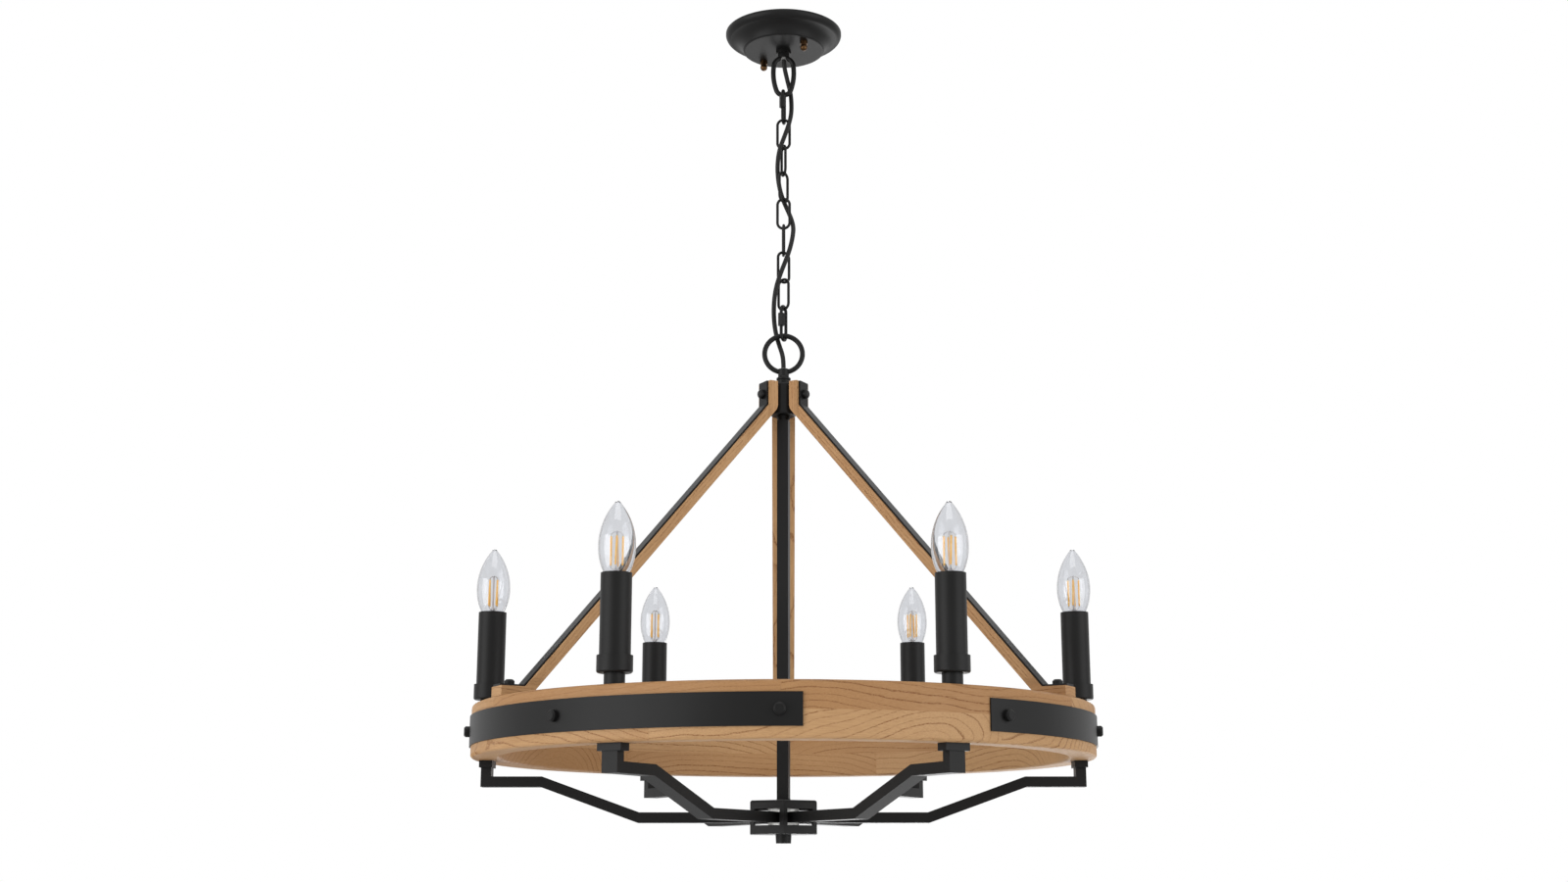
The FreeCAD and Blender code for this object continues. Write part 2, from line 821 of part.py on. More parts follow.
def make_strut_hub(top):
    """The cylinder that the struts are bolted to, with a neck on top; gives its lower end."""
    body = new_body("strut_hub")
    bore = S.hub_nipple_width / 2 + S.fit_clearance
    edge = S.hub_edge_radius
    bottom = -S.hub_neck_height - S.hub_height
    revolve(
        body,
        outline(
            new_sketch(body),
            [
                (bore, 0),
                (S.hub_neck_width / 2, 0),
                (S.hub_neck_width / 2, -S.hub_neck_height),
                (S.hub_width / 2 - edge, -S.hub_neck_height, -edge),
                (S.hub_width / 2, -S.hub_neck_height - edge),
                (S.hub_width / 2, bottom + edge, -edge),
                (S.hub_width / 2 - edge, bottom),
                (bore, bottom),
            ],
        ),
    )
    hole = new_sketch(body, name="Bolt hole", up=-S.hub_neck_height - S.top_bolt_drop)
    reach = (S.strut_bolt_width / 2) + S.fit_clearance
    outline(hole, [(bore / 2, 0), (S.hub_width, 0), (S.hub_width, reach), (bore / 2, reach)])
    around(body, [revolve(body, hole, "H_Axis", cut=True)], STRUTS)
    place(body, top, S.strut_turn)
    return top + bottom


STRUT_OUTSIDE = S.hub_width / 2 + S.strut_thickness + S.strap_thickness
STRUT_SLOPE = slope(S.strut_drop, S.strut_foot_radius - STRUT_OUTSIDE)


def strut_section(near, far):
    """The side outline of a layer of a strut, between two depths under the strap's outer face."""
    top_mitre = tangent((90 - STRUT_SLOPE) / 2)
    foot_mitre = tangent(STRUT_SLOPE / 2)
    bend = -S.strut_head_height
    foot = bend - S.strut_drop

    def edge(depth):
        return [
            (STRUT_OUTSIDE - depth, 0),
            (STRUT_OUTSIDE - depth, bend - depth * top_mitre),
            (S.strut_foot_radius - depth * foot_mitre, foot - depth),
            (S.strut_end_radius, foot - depth),
        ]

    return edge(near) + edge(far)[::-1]


def strut_layer(label, near, far, width, top, bend_radius=None):
    """Three bent layers, for the wooden struts or the metal straps on them, with their bolt holes."""
    body = new_body(label)
    layer = pad(body, outline(new_sketch(body), strut_section(near, far)), width, both_ways=True)
    features = [layer]
    if bend_radius is not None:
        inner = STRUT_OUTSIDE.number - size(far).number
        features.append(
            fillet(
                body,
                bend_radius,
                lambda edge: abs(edge.BoundBox.XMax - inner) < 0.01
                and edge.BoundBox.XLength < 0.01
                and edge.BoundBox.ZLength < 0.01
                and edge.BoundBox.ZMax < -1,
            )
        )
    hole = new_sketch(body, name="Top hole", up=-S.top_bolt_drop)
    reach = S.strut_bolt_width / 2 + S.fit_clearance
    outline(hole, [(0, 0), (STRUT_OUTSIDE * 2, 0), (STRUT_OUTSIDE * 2, reach), (0, reach)])
    features.append(revolve(body, hole, "H_Axis", cut=True))
    foot_hole = new_sketch(body, "XY_Plane", "Foot hole")
    circle(foot_hole, S.foot_bolt_radius, 0, S.strut_bolt_width + S.fit_clearance * 2)
    features.append(pocket(body, foot_hole))
    around(body, features, STRUTS)
    place(body, top, S.strut_turn)


def bolt_outline(head_width, head_height, shank_width, grip, seat):
    """Half a round-headed bolt along the level axis, with its head outside the seat."""
    head = head_width / 2
    crown = S.bolt_crown
    return [
        (seat - grip, 0),
        (seat + head_height, 0),
        (seat + head_height, head - crown),
        (seat + head_height - crown, head),
        (seat, head),
        (seat, shank_width / 2),
        (seat - grip, shank_width / 2),
    ]


def make_strut_bolts(top):
    body = new_body("strut_bolts")
    level = new_sketch(body, name="Top bolt", up=-S.top_bolt_drop)
    outline(
        level,
        bolt_outline(
            S.strut_bolt_head, S.strut_bolt_head_height, S.strut_bolt_width, S.top_bolt_grip, STRUT_OUTSIDE
        ),
    )
    head = revolve(body, level, "H_Axis")
    upright = new_sketch(body, name="Foot bolt", right=S.foot_bolt_radius)
    seat = -S.strut_head_height - S.strut_drop
    side_on = bolt_outline(
        S.strut_bolt_head, S.strut_bolt_head_height, S.strut_bolt_width, S.foot_bolt_grip, seat
    )
    outline(upright, [(across, along) for along, across in side_on])
    foot = revolve(body, upright)
    around(body, [head, foot], STRUTS)
    place(body, top, S.strut_turn)


# ---------------------------------------------------------------- wheel

def wheel_layer(label, middle, turn, upward):
    """Six glued staves with the edges of their outer face rounded, bored for bolts and lamp tubes."""
    body = new_body(label)
    outer, inner, edge = S.wheel_radius, S.wheel_inner_radius, S.wheel_edge_radius
    if upward:
        corners = [
            (inner, 0),
            (outer, 0),
            (outer, S.layer_height - edge, edge),
            (outer - edge, S.layer_height),
            (inner + edge, S.layer_height, edge),
            (inner, S.layer_height - edge),
        ]
    else:
        corners = [
            (inner, 0),
            (inner, -S.layer_height + edge, edge),
            (inner + edge, -S.layer_height),
            (outer - edge, -S.layer_height, edge),
            (outer, -S.layer_height + edge),
            (outer, 0),
        ]
    span = 360 / STAVES - S.stave_gap / outer * (180 / math.pi)
    stave = revolve(body, outline(new_sketch(body, turn=turn), corners), angle=span)
    around(body, [stave], STAVES)
    lamp_hole = new_sketch(body, "XY_Plane", "Lamp hole", turn=S.candle_turn)
    circle(lamp_hole, S.candle_radius, 0, S.candle_nipple_width + S.fit_clearance * 2)
    around(body, [pocket(body, lamp_hole, forward=upward)], LAMPS)
    bolt_hole = new_sketch(body, "XY_Plane", "Foot bolt hole", turn=S.strut_turn)
    circle(bolt_hole, S.foot_bolt_radius, 0, S.strut_bolt_width + S.fit_clearance * 2)
    foot_depth = S.foot_bolt_grip - S.strap_thickness - S.strut_thickness + S.bolt_end_clearance
    if upward:
        around(body, [pocket(body, bolt_hole, forward=True)], STRUTS)
    else:
        around(body, [pocket(body, bolt_hole, foot_depth - S.layer_height)], STRUTS)
    rim_hole = new_sketch(body, name="Rim bolt hole", turn=S.band_turn)
    reach = S.rim_bolt_width / 2 + S.fit_clearance
    start = outer + S.band_thickness - S.rim_bolt_grip - S.bolt_end_clearance
    outline(rim_hole, [(start, 0), (outer * 2, 0), (outer * 2, reach), (start, reach)])
    around(body, [revolve(body, rim_hole, "H_Axis", cut=True)], RIM_BOLTS)
    place(body, middle)


def make_rim_bands(middle):
    body = new_body("rim_bands")
    half = S.band_height / 2
    inside = S.wheel_radius + S.fit_clearance / 2
    outside = inside + S.band_thickness
    span = S.rim_bolt_step * 2 + S.band_end * 2 / S.wheel_radius * (180 / math.pi)
    section = outline(new_sketch(body), [(inside, -half), (outside, -half), (outside, half), (inside, half)])
    around(body, [revolve(body, section, angle=span)], BANDS)
    hole = new_sketch(body, name="Bolt hole")
    reach = S.rim_bolt_width / 2 + S.fit_clearance
    outline(hole, [(inside / 2, 0), (outside * 2, 0), (outside * 2, reach), (inside / 2, reach)])
    around(body, [revolve(body, hole, "H_Axis", cut=True)], RIM_BOLTS)
    place(body, middle, S.band_turn)


def make_rim_bolts(middle):
    body = new_body("rim_bolts")
    seat = S.wheel_radius + S.fit_clearance / 2 + S.band_thickness
    section = new_sketch(body)
    outline(
        section,
        bolt_outline(S.rim_bolt_head, S.rim_bolt_head_height, S.rim_bolt_width, S.rim_bolt_grip, seat),
    )
    around(body, [revolve(body, section, "H_Axis")], RIM_BOLTS)
    place(body, middle, S.band_turn)


# ---------------------------------------------------------------- stem, lower hub and arms

def make_stem(top):
    """A square tube with a round foot that stands on the lower hub."""
    body = new_body("centre_stem")
    section = new_sketch(body, "XY_Plane")
    half = S.stem_width / 2
    rectangle(section, -half, half, -half, half)
    inner = half - S.stem_wall
    rectangle(section, -inner, inner, -inner, inner)
    pad(body, section, S.stem_length, down=True)
    foot = new_sketch(body, "XY_Plane", "Foot", lift=-S.stem_length)
    circle(foot, 0, 0, S.stem_foot_width)
    circle(foot, 0, 0, S.core_bore)
    pad(body, foot, S.stem_foot_height, down=True)
    place(body, top, S.stem_turn)


def make_stem_plugs(top):
    """A bored plug in each end of the stem."""
    body = new_body("stem_plugs")
    half = S.stem_width / 2 - S.stem_wall - S.fit_clearance / 2
    bore = S.hub_nipple_width
    for z in (size(0), -(S.stem_length - S.plug_height)):
        section = new_sketch(body, "XY_Plane", lift=z)
        rectangle(section, -half, half, -half, half)
        circle(section, 0, 0, bore)
        pad(body, section, S.plug_height, down=True)
    place(body, top, S.stem_turn)


def make_lower_hub(top):
    """A hexagonal pressed shell, closed on top, with a window in each side for an arm."""
    body = new_body("lower_hub")
    pad(body, hexagon(new_sketch(body, "XY_Plane"), S.lower_hub_width), S.lower_hub_height, down=True)
    fillet(body, S.lower_hub_edge_radius, lambda edge: edge.BoundBox.ZMin > -0.01)
    inside = new_sketch(body, "XY_Plane", "Inside", lift=-S.lower_hub_height)
    hexagon(inside, S.lower_hub_width - S.lower_hub_wall * 2)
    pocket(body, inside, S.lower_hub_height - S.lower_hub_wall, forward=True)
    middle = -S.lower_hub_height / 2
    window = new_sketch(body, "YZ_Plane", "Window")
    rectangle(
        window,
        -S.window_width / 2,
        S.window_width / 2,
        middle - S.window_height / 2,
        middle + S.window_height / 2,
    )
    around(body, [pocket(body, window, forward=True)], HEXAGON)
    pocket(body, circle(new_sketch(body, "XY_Plane", "Wire hole"), 0, 0, S.core_bore))
    place(body, top)


def make_hub_core(top):
    """The hexagonal block inside the hub that the arms are fixed to."""
    body = new_body("hub_core")
    height = S.lower_hub_height - S.lower_hub_wall * 2
    block = new_sketch(body, "XY_Plane", lift=-S.lower_hub_wall)
    hexagon(block, S.core_width)
    pad(body, block, height, down=True)
    pocket(body, circle(new_sketch(body, "XY_Plane", "Bore"), 0, 0, S.finial_stud_width))
    place(body, top)


def make_base_plate(top):
    body = new_body("hub_base_plate")
    inside = S.lower_hub_width - S.lower_hub_wall * 2 - S.fit_clearance * 2
    plate = new_sketch(body, "XY_Plane")
    hexagon(plate, inside)
    pad(body, plate, S.lower_hub_wall)
    pocket(
        body,
        circle(new_sketch(body, "XY_Plane", "Hole"), 0, 0, S.finial_stud_width + S.fit_clearance * 2),
        forward=True,
    )
    place(body, top - S.lower_hub_height)


def make_finial(top):
    stud = S.finial_stud_width / 2 - S.fit_clearance
    turned(
        "finial",
        [
            (0, -S.finial_height),
            (S.finial_tip_width / 2, -S.finial_height),
            (S.finial_width / 2, 0),
            (stud, 0),
            (stud, S.finial_stud_length),
            (0, S.finial_stud_length),
        ],
        z=top - S.lower_hub_height,
    )


def make_arms(arm_z, post_top):
    """Six rectangular tubes, cut and joined at each corner, from the hub to upright ends at the lamps."""
    body = new_body("candle_arms")
    upper = S.arm_rise
    spine = new_sketch(body, "XZ_Plane", "Run")
    outline(
        spine,
        [
            (S.arm_start_radius, 0),
            (S.arm_knee_radius, 0),
            (S.arm_elbow_radius, upper),
            (S.candle_radius, upper),
            (S.candle_radius, post_top - arm_z),
        ],
        closed=False,
    )
    section = new_sketch(body, "YZ_Plane", "Section", lift=S.arm_start_radius)
    wide, high = S.arm_width / 2, S.arm_height / 2
    rectangle(section, -wide, wide, -high, high)
    rectangle(section, -wide + S.arm_wall, wide - S.arm_wall, -high + S.arm_wall, high - S.arm_wall)
    around(body, [pipe(body, section, spine, "Right corner")], LAMPS)
    place(body, arm_z, S.candle_turn)


def make_arm_caps(wheel_bottom):
    body = new_body("arm_caps")
    deep, wide = S.arm_cap_depth / 2, S.arm_cap_width / 2
    block = new_sketch(body, "XY_Plane", right=S.candle_radius)
    rectangle(block, -deep, deep, -wide, wide)
    circle(block, 0, 0, S.candle_nipple_width + S.fit_clearance * 2)
    around(body, [pad(body, block, S.arm_cap_height, down=True)], LAMPS)
    place(body, wheel_bottom, S.candle_turn)


# ---------------------------------------------------------------- candle lamps

def on_lamps(label, corners, z):
    return turned(label, corners, z=z, count=LAMPS, radius=S.candle_radius, turn=S.candle_turn)


def make_candles(wheel_top, wheel_bottom):
    """The pieces of each lamp on the wheel; gives the height of the sleeves' rims."""
    nipple_bore = S.candle_nipple_width / 2 + S.fit_clearance
    neck_top = wheel_top + S.neck_height
    floor = neck_top + S.cup_wall
    tube(
        "candle_nipples",
        S.candle_nipple_width,
        S.candle_nipple_bore,
        wheel_bottom - S.arm_cap_height - S.candle_nipple_drop,
        floor + S.candle_nipple_rise,
        count=LAMPS,
        radius=S.candle_radius,
        turn=S.candle_turn,
    )
    on_lamps(
        "neck_tubes",
        [
            (nipple_bore, 0),
            (S.neck_width / 2, 0),
            (S.neck_width / 2, S.neck_height),
            (nipple_bore, S.neck_height),
        ],
        wheel_top,
    )
    cup, edge, wall = S.cup_width / 2, S.cup_edge_radius, S.cup_wall
    on_lamps(
        "candle_cups",
        [
            (nipple_bore, 0),
            (cup - edge, 0, edge),
            (cup, edge),
            (cup, S.cup_height),
            (cup - wall, S.cup_height),
            (cup - wall, wall),
            (nipple_bore, wall),
        ],
        neck_top,
    )
    sleeve = S.sleeve_width / 2
    lip = S.sleeve_height - S.sleeve_wall
    on_lamps(
        "candle_sleeves",
        [
            (sleeve - S.sleeve_wall, 0),
            (sleeve, 0),
            (sleeve, S.sleeve_height),
            (S.sleeve_mouth / 2, S.sleeve_height),
            (S.sleeve_mouth / 2, lip),
            (sleeve - S.sleeve_wall, lip),
        ],
        floor,
    )
    foot = S.holder_foot_height
    rim = S.sleeve_height - S.bulb_neck_depth - S.seat_clearance
    shoulder = rim - S.holder_height
    socket = S.screw_cap_width / 2 + S.fit_clearance * 2
    socket_floor = rim - S.screw_cap_height - S.cap_contact_height - S.seat_clearance
    on_lamps(
        "lamp_holders",
        [
            (nipple_bore, 0),
            (S.holder_foot_width / 2, 0),
            (S.holder_foot_width / 2, foot),
            (S.holder_stem_width / 2, foot),
            (S.holder_stem_width / 2, shoulder),
            (S.holder_width / 2, shoulder),
            (S.holder_width / 2, rim),
            (socket, rim),
            (socket, socket_floor),
            (nipple_bore, socket_floor),
        ],
        floor,
    )
    return floor + S.sleeve_height


def bulb_outline(inset):
    """Half the section of a bulb's glass above its neck, or that of its inside."""
    widest, tip = S.bulb_width / 2 - inset, S.bulb_tip_width / 2
    mouth = S.bulb_mouth_width / 2 - inset
    neck = S.bulb_neck_width / 2 - inset
    top = S.bulb_visible_height - inset
    shoulder = top - S.bulb_tip_height
    inward, upward = widest - tip, shoulder - S.bulb_widest
    crown = (inward * inward + upward * upward) / (inward * 2)
    swell = widest - mouth
    belly = (swell * swell + S.bulb_widest * S.bulb_widest) / (swell * 2)
    nose = (tip * tip + S.bulb_tip_height * S.bulb_tip_height) / (S.bulb_tip_height * 2)
    return [
        (0, -S.bulb_neck_depth),
        (neck, -S.bulb_neck_depth),
        (mouth, 0, belly),
        (widest, S.bulb_widest, crown),
        (tip, shoulder, nose),
        (0, top),
    ]


def make_bulb(number, rim):
    """One clear candle bulb and its screw cap, about the sleeve's rim."""
    turn = S.candle_turn + 60 * (number - 1)
    glass = new_body(f"bulb_glass_{number}")
    revolve(glass, outline(new_sketch(glass, right=S.candle_radius), bulb_outline(size(0))))
    inside = new_sketch(glass, name="Inside", right=S.candle_radius)
    revolve(glass, outline(inside, bulb_outline(S.bulb_wall)), cut=True)
    place(glass, rim, turn)

    cap = new_body(f"bulb_cap_{number}")
    shell, contact = S.screw_cap_width / 2, S.cap_contact_width / 2
    seat = -S.bulb_neck_depth
    base = seat - S.screw_cap_height
    stem = S.mount_width / 2
    stem_tip = seat + S.mount_height
    plate = S.filament_plate_width / 2
    outline_cap = new_sketch(cap, right=S.candle_radius)
    outline(
        outline_cap,
        [
            (0, base - S.cap_contact_height),
            (contact, base - S.cap_contact_height),
            (shell, base),
            (shell, seat),
            (stem, seat),
            (S.mount_tip_width / 2, stem_tip),
            (plate, stem_tip),
            (plate, stem_tip + S.filament_plate_height),
            (0, stem_tip + S.filament_plate_height),
        ],
    )
    revolve(cap, outline_cap)
    rods = new_sketch(cap, "XY_Plane", "Filaments", lift=stem_tip + S.filament_plate_height)
    for side in (-1, 1):
        circle(rods, S.candle_radius + S.filament_circle / 2 * side, 0, S.filament_width)
        circle(rods, S.candle_radius, S.filament_circle / 2 * side, S.filament_width)
    pad(cap, rods, S.filament_length)
    place(cap, rim, turn)


# ---------------------------------------------------------------- the cord round the chain

# The cord's route round the chain, from the canopy nipple to the boss of the hanging ring.
CORD_ROUTE = [
    (0.0, 0.0, -17.5),
    (0.0, 0.0, -36.0),
    (3.9, 3.4, -53.0),
    (8.0, 6.8, -68.0),
    (9.0, 3.2, -84.0),
    (8.6, -2.6, -98.0),
    (5.8, -6.8, -112.0),
    (1.0, -7.4, -126.0),
    (-4.4, -5.8, -140.0),
    (-6.8, -1.4, -155.0),
    (-6.4, 3.8, -170.0),
    (-3.8, 7.8, -185.0),
    (1.0, 8.8, -199.0),
    (7.0, 6.8, -213.0),
    (11.2, 1.8, -228.0),
    (10.0, -4.4, -243.0),
    (6.8, -7.2, -258.0),
    (2.0, -8.2, -272.0),
    (-3.4, -8.4, -286.0),
    (-8.0, -6.2, -300.0),
    (-10.4, -1.8, -315.0),
    (-10.8, 3.6, -330.0),
    (-9.2, 7.8, -346.0),
    (-5.4, 7.4, -361.0),
    (-1.2, 3.2, -374.0),
    (0.0, 0.0, -385.0),
    (0.0, 0.0, -395.5),
]


def tube_path(route, share=0.45):
    """Straight runs joined by arcs that touch both, each as large as its shorter run allows."""
    points = [FreeCAD.Vector(*point) for point in route]
    edges, radii = [], []
    here = points[0]
    for before, corner, after in zip(points, points[1:], points[2:]):
        arriving = (corner - before).normalize()
        leaving = (after - corner).normalize()
        reach = share * min((corner - before).Length, (after - corner).Length)
        half_turn = arriving.getAngle(leaving) / 2
        radius = reach / math.tan(half_turn)
        start = corner - arriving * reach
        stop = corner + leaving * reach
        inward = (leaving - arriving).normalize()
        crown = corner + inward * (radius / math.cos(half_turn) - radius)
        edges.append(Part.LineSegment(here, start).toShape())
        edges.append(Part.Arc(start, crown, stop).toShape())
        radii.append(radius)
        here = stop
    edges.append(Part.LineSegment(here, points[-1]).toShape())
    return Part.Wire(edges), radii


def make_cord():
    path, radii = tube_path(CORD_ROUTE)
    width = sheet.get("cord_width")
    start = FreeCAD.Vector(*CORD_ROUTE[0])
    end = Part.Wire(Part.Circle(start, FreeCAD.Vector(0, 0, 1), width / 2).toShape())
    solid = path.makePipeShell([end], True, False)
    cord = doc.addObject("Part::Feature", "cord")
    cord.Label = "cord"
    cord.Shape = solid
    parts.append(cord)
    expected = math.pi * width**2 / 4 * path.Length
    print("cord length", round(path.Length, 1), "volume share", round(solid.Volume / expected, 4))
    print("cord radii", [round(radius, 1) for radius in radii])


# ---------------------------------------------------------------- assembly

make_canopy()
make_ceiling_bar()
make_stud_bar()
make_canopy_studs()
make_ball_nuts()
tube(
    "canopy_nipple",
    S.canopy_nipple_width,
    S.bushing_width,
    -S.canopy_depth - S.canopy_nipple_reach,
    -S.canopy_depth + S.canopy_nipple_rise,
)
make_lock_nut()
make_canopy_loop()
bushing_bore = S.cord_width + S.fit_clearance * 2
bushing_outer = S.bushing_width - S.fit_clearance
loop_exit = LOOP_TOP - S.loop_wire
tube("canopy_bushing", bushing_outer, bushing_bore, loop_exit, loop_exit + S.bushing_height)
make_terminal_block()

chain_bottom = make_chain()
ring_top = hung_from(chain_bottom, S.quick_wire, S.ring_wire)
boss_top = ring_top - S.ring_width + S.boss_rise
boss_end = make_hanging_ring(ring_top)
bushing_top = boss_top + S.bushing_lip
tube("ring_bushing", bushing_outer, bushing_bore, bushing_top - S.bushing_height, bushing_top)
washer_end = boss_end - S.washer_height
nipple_clearance = S.hub_nipple_width + S.fit_clearance * 2
tube("hub_washer", S.washer_width, nipple_clearance, washer_end, boss_end)
hub_end = make_strut_hub(washer_end)
nut_end = hub_end - S.hub_nut_height
stem_top = nut_end - S.hub_nut_tip_height
turned(
    "hub_lock_nut",
    [
        (nipple_clearance / 2, hub_end),
        (S.hub_nut_width / 2, hub_end),
        (S.hub_nut_width / 2, nut_end),
        (S.hub_nut_tip_width / 2, nut_end),
        (S.hub_nut_tip_width / 2, stem_top),
        (nipple_clearance / 2, stem_top),
    ],
)
tube(
    "hub_nipple",
    S.hub_nipple_width - S.fit_clearance,
    S.hub_nipple_bore,
    stem_top - S.plug_height + S.bolt_end_clearance,
    boss_end + S.boss_foot_height,
)

strut_top = washer_end - S.hub_neck_height
strut_layer(
    "wooden_struts",
    S.strap_thickness,
    S.strap_thickness + S.strut_thickness,
    S.strut_width,
    strut_top,
    S.strut_bend_radius,
)
strut_layer("strut_straps", size(0), S.strap_thickness, S.strap_width, strut_top)
make_strut_bolts(strut_top)

wheel_top = strut_top - S.strut_head_height - S.strut_drop - S.strap_thickness - S.strut_thickness
wheel_middle = wheel_top - S.layer_height
wheel_bottom = wheel_middle - S.layer_height
wheel_layer("wheel_upper_layer", wheel_middle, S.upper_stave_turn, True)
wheel_layer("wheel_lower_layer", wheel_middle, S.lower_stave_turn, False)
make_rim_bands(wheel_middle)
make_rim_bolts(wheel_middle)

make_stem(stem_top)
make_stem_plugs(stem_top)
lower_hub_top = stem_top - S.stem_length - S.stem_foot_height
make_lower_hub(lower_hub_top)
make_hub_core(lower_hub_top)
make_base_plate(lower_hub_top)
make_finial(lower_hub_top)
make_arms(lower_hub_top - S.lower_hub_height / 2, wheel_bottom - S.arm_cap_height)
make_arm_caps(wheel_bottom)

sleeve_rim = make_candles(wheel_top, wheel_bottom)
for number in range(1, LAMPS + 1):
    make_bulb(number, sleeve_rim)
make_cord()

# ---------------------------------------------------------------- checks and export

doc.recompute()
failed = [
    f"{item.getParentGeoFeatureGroup().Label if item.getParentGeoFeatureGroup() else ''} {item.Label}"
    for item in doc.Objects
    if {"Invalid", "Error"} & set(item.State)
]
failed += [item.Label for item in parts if item.Shape.isNull() or not item.Shape.isValid()]
if failed:
    raise RuntimeError(f"these failed to build: {failed}")

os.makedirs("parts", exist_ok=True)
for item in parts:
    item.Shape.exportStep(os.path.join("parts", f"{item.Label}.step"))
print(len(parts), "parts,", sum(len(item.Shape.Solids) for item in parts), "solids")
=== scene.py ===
import json
import math

import bpy
from mathutils import Matrix, Vector


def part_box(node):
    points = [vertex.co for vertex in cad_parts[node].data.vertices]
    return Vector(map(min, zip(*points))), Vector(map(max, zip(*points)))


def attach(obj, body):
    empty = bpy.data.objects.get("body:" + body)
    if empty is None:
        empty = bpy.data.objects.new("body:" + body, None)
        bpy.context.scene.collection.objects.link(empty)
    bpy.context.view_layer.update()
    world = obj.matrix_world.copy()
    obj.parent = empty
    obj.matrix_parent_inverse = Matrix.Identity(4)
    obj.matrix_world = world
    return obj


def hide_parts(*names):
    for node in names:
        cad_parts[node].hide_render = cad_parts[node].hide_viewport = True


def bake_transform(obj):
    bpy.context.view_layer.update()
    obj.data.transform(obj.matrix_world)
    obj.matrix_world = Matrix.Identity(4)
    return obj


# A wagon wheel chandelier: the finish of its wood, metal and glass, the cord wound round its chain, and
# the insides of its candle bulbs. Lengths are in metres unless a comment says millimetres.

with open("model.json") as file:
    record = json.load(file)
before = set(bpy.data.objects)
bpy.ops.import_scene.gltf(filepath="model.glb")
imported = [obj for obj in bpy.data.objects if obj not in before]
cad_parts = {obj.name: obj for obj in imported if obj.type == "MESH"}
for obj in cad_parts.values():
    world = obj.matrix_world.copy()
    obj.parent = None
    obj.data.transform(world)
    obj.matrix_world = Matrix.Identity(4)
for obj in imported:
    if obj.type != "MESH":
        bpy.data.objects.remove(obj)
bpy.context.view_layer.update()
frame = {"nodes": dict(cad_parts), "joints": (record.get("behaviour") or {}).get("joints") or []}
nodes = frame["nodes"]
scene = bpy.context.scene

MM = 0.001
LAMPS = range(1, 7)
LINKS = [f"chain_link_{i}" for i in range(1, 8)]


# ---------------------------------------------------------------- camera

CAMERA_PLACE = (0.0005, -1.990, -0.931)
CAMERA_PITCH = 13.0
CAMERA_LENS = 43.65

camera = bpy.data.objects.new("camera", bpy.data.cameras.new("camera"))
scene.collection.objects.link(camera)
camera.location = CAMERA_PLACE
camera.rotation_euler = (math.radians(90 + CAMERA_PITCH), 0, 0)
camera.data.lens = CAMERA_LENS
camera.data.sensor_width = 36
camera.data.clip_start = 0.05
scene.camera = camera


# ---------------------------------------------------------------- node graphs

class Wire:
    """One output of a node. Sums and products of wires become Math nodes."""

    def __init__(self, graph, socket):
        self.graph = graph
        self.socket = socket

    def __add__(self, other):
        return self.graph.math("ADD", self, other)

    def __sub__(self, other):
        return self.graph.math("SUBTRACT", self, other)

    def __rsub__(self, other):
        return self.graph.math("SUBTRACT", other, self)

    def __mul__(self, other):
        return self.graph.math("MULTIPLY", self, other)

    def __truediv__(self, other):
        return self.graph.math("DIVIDE", self, other)


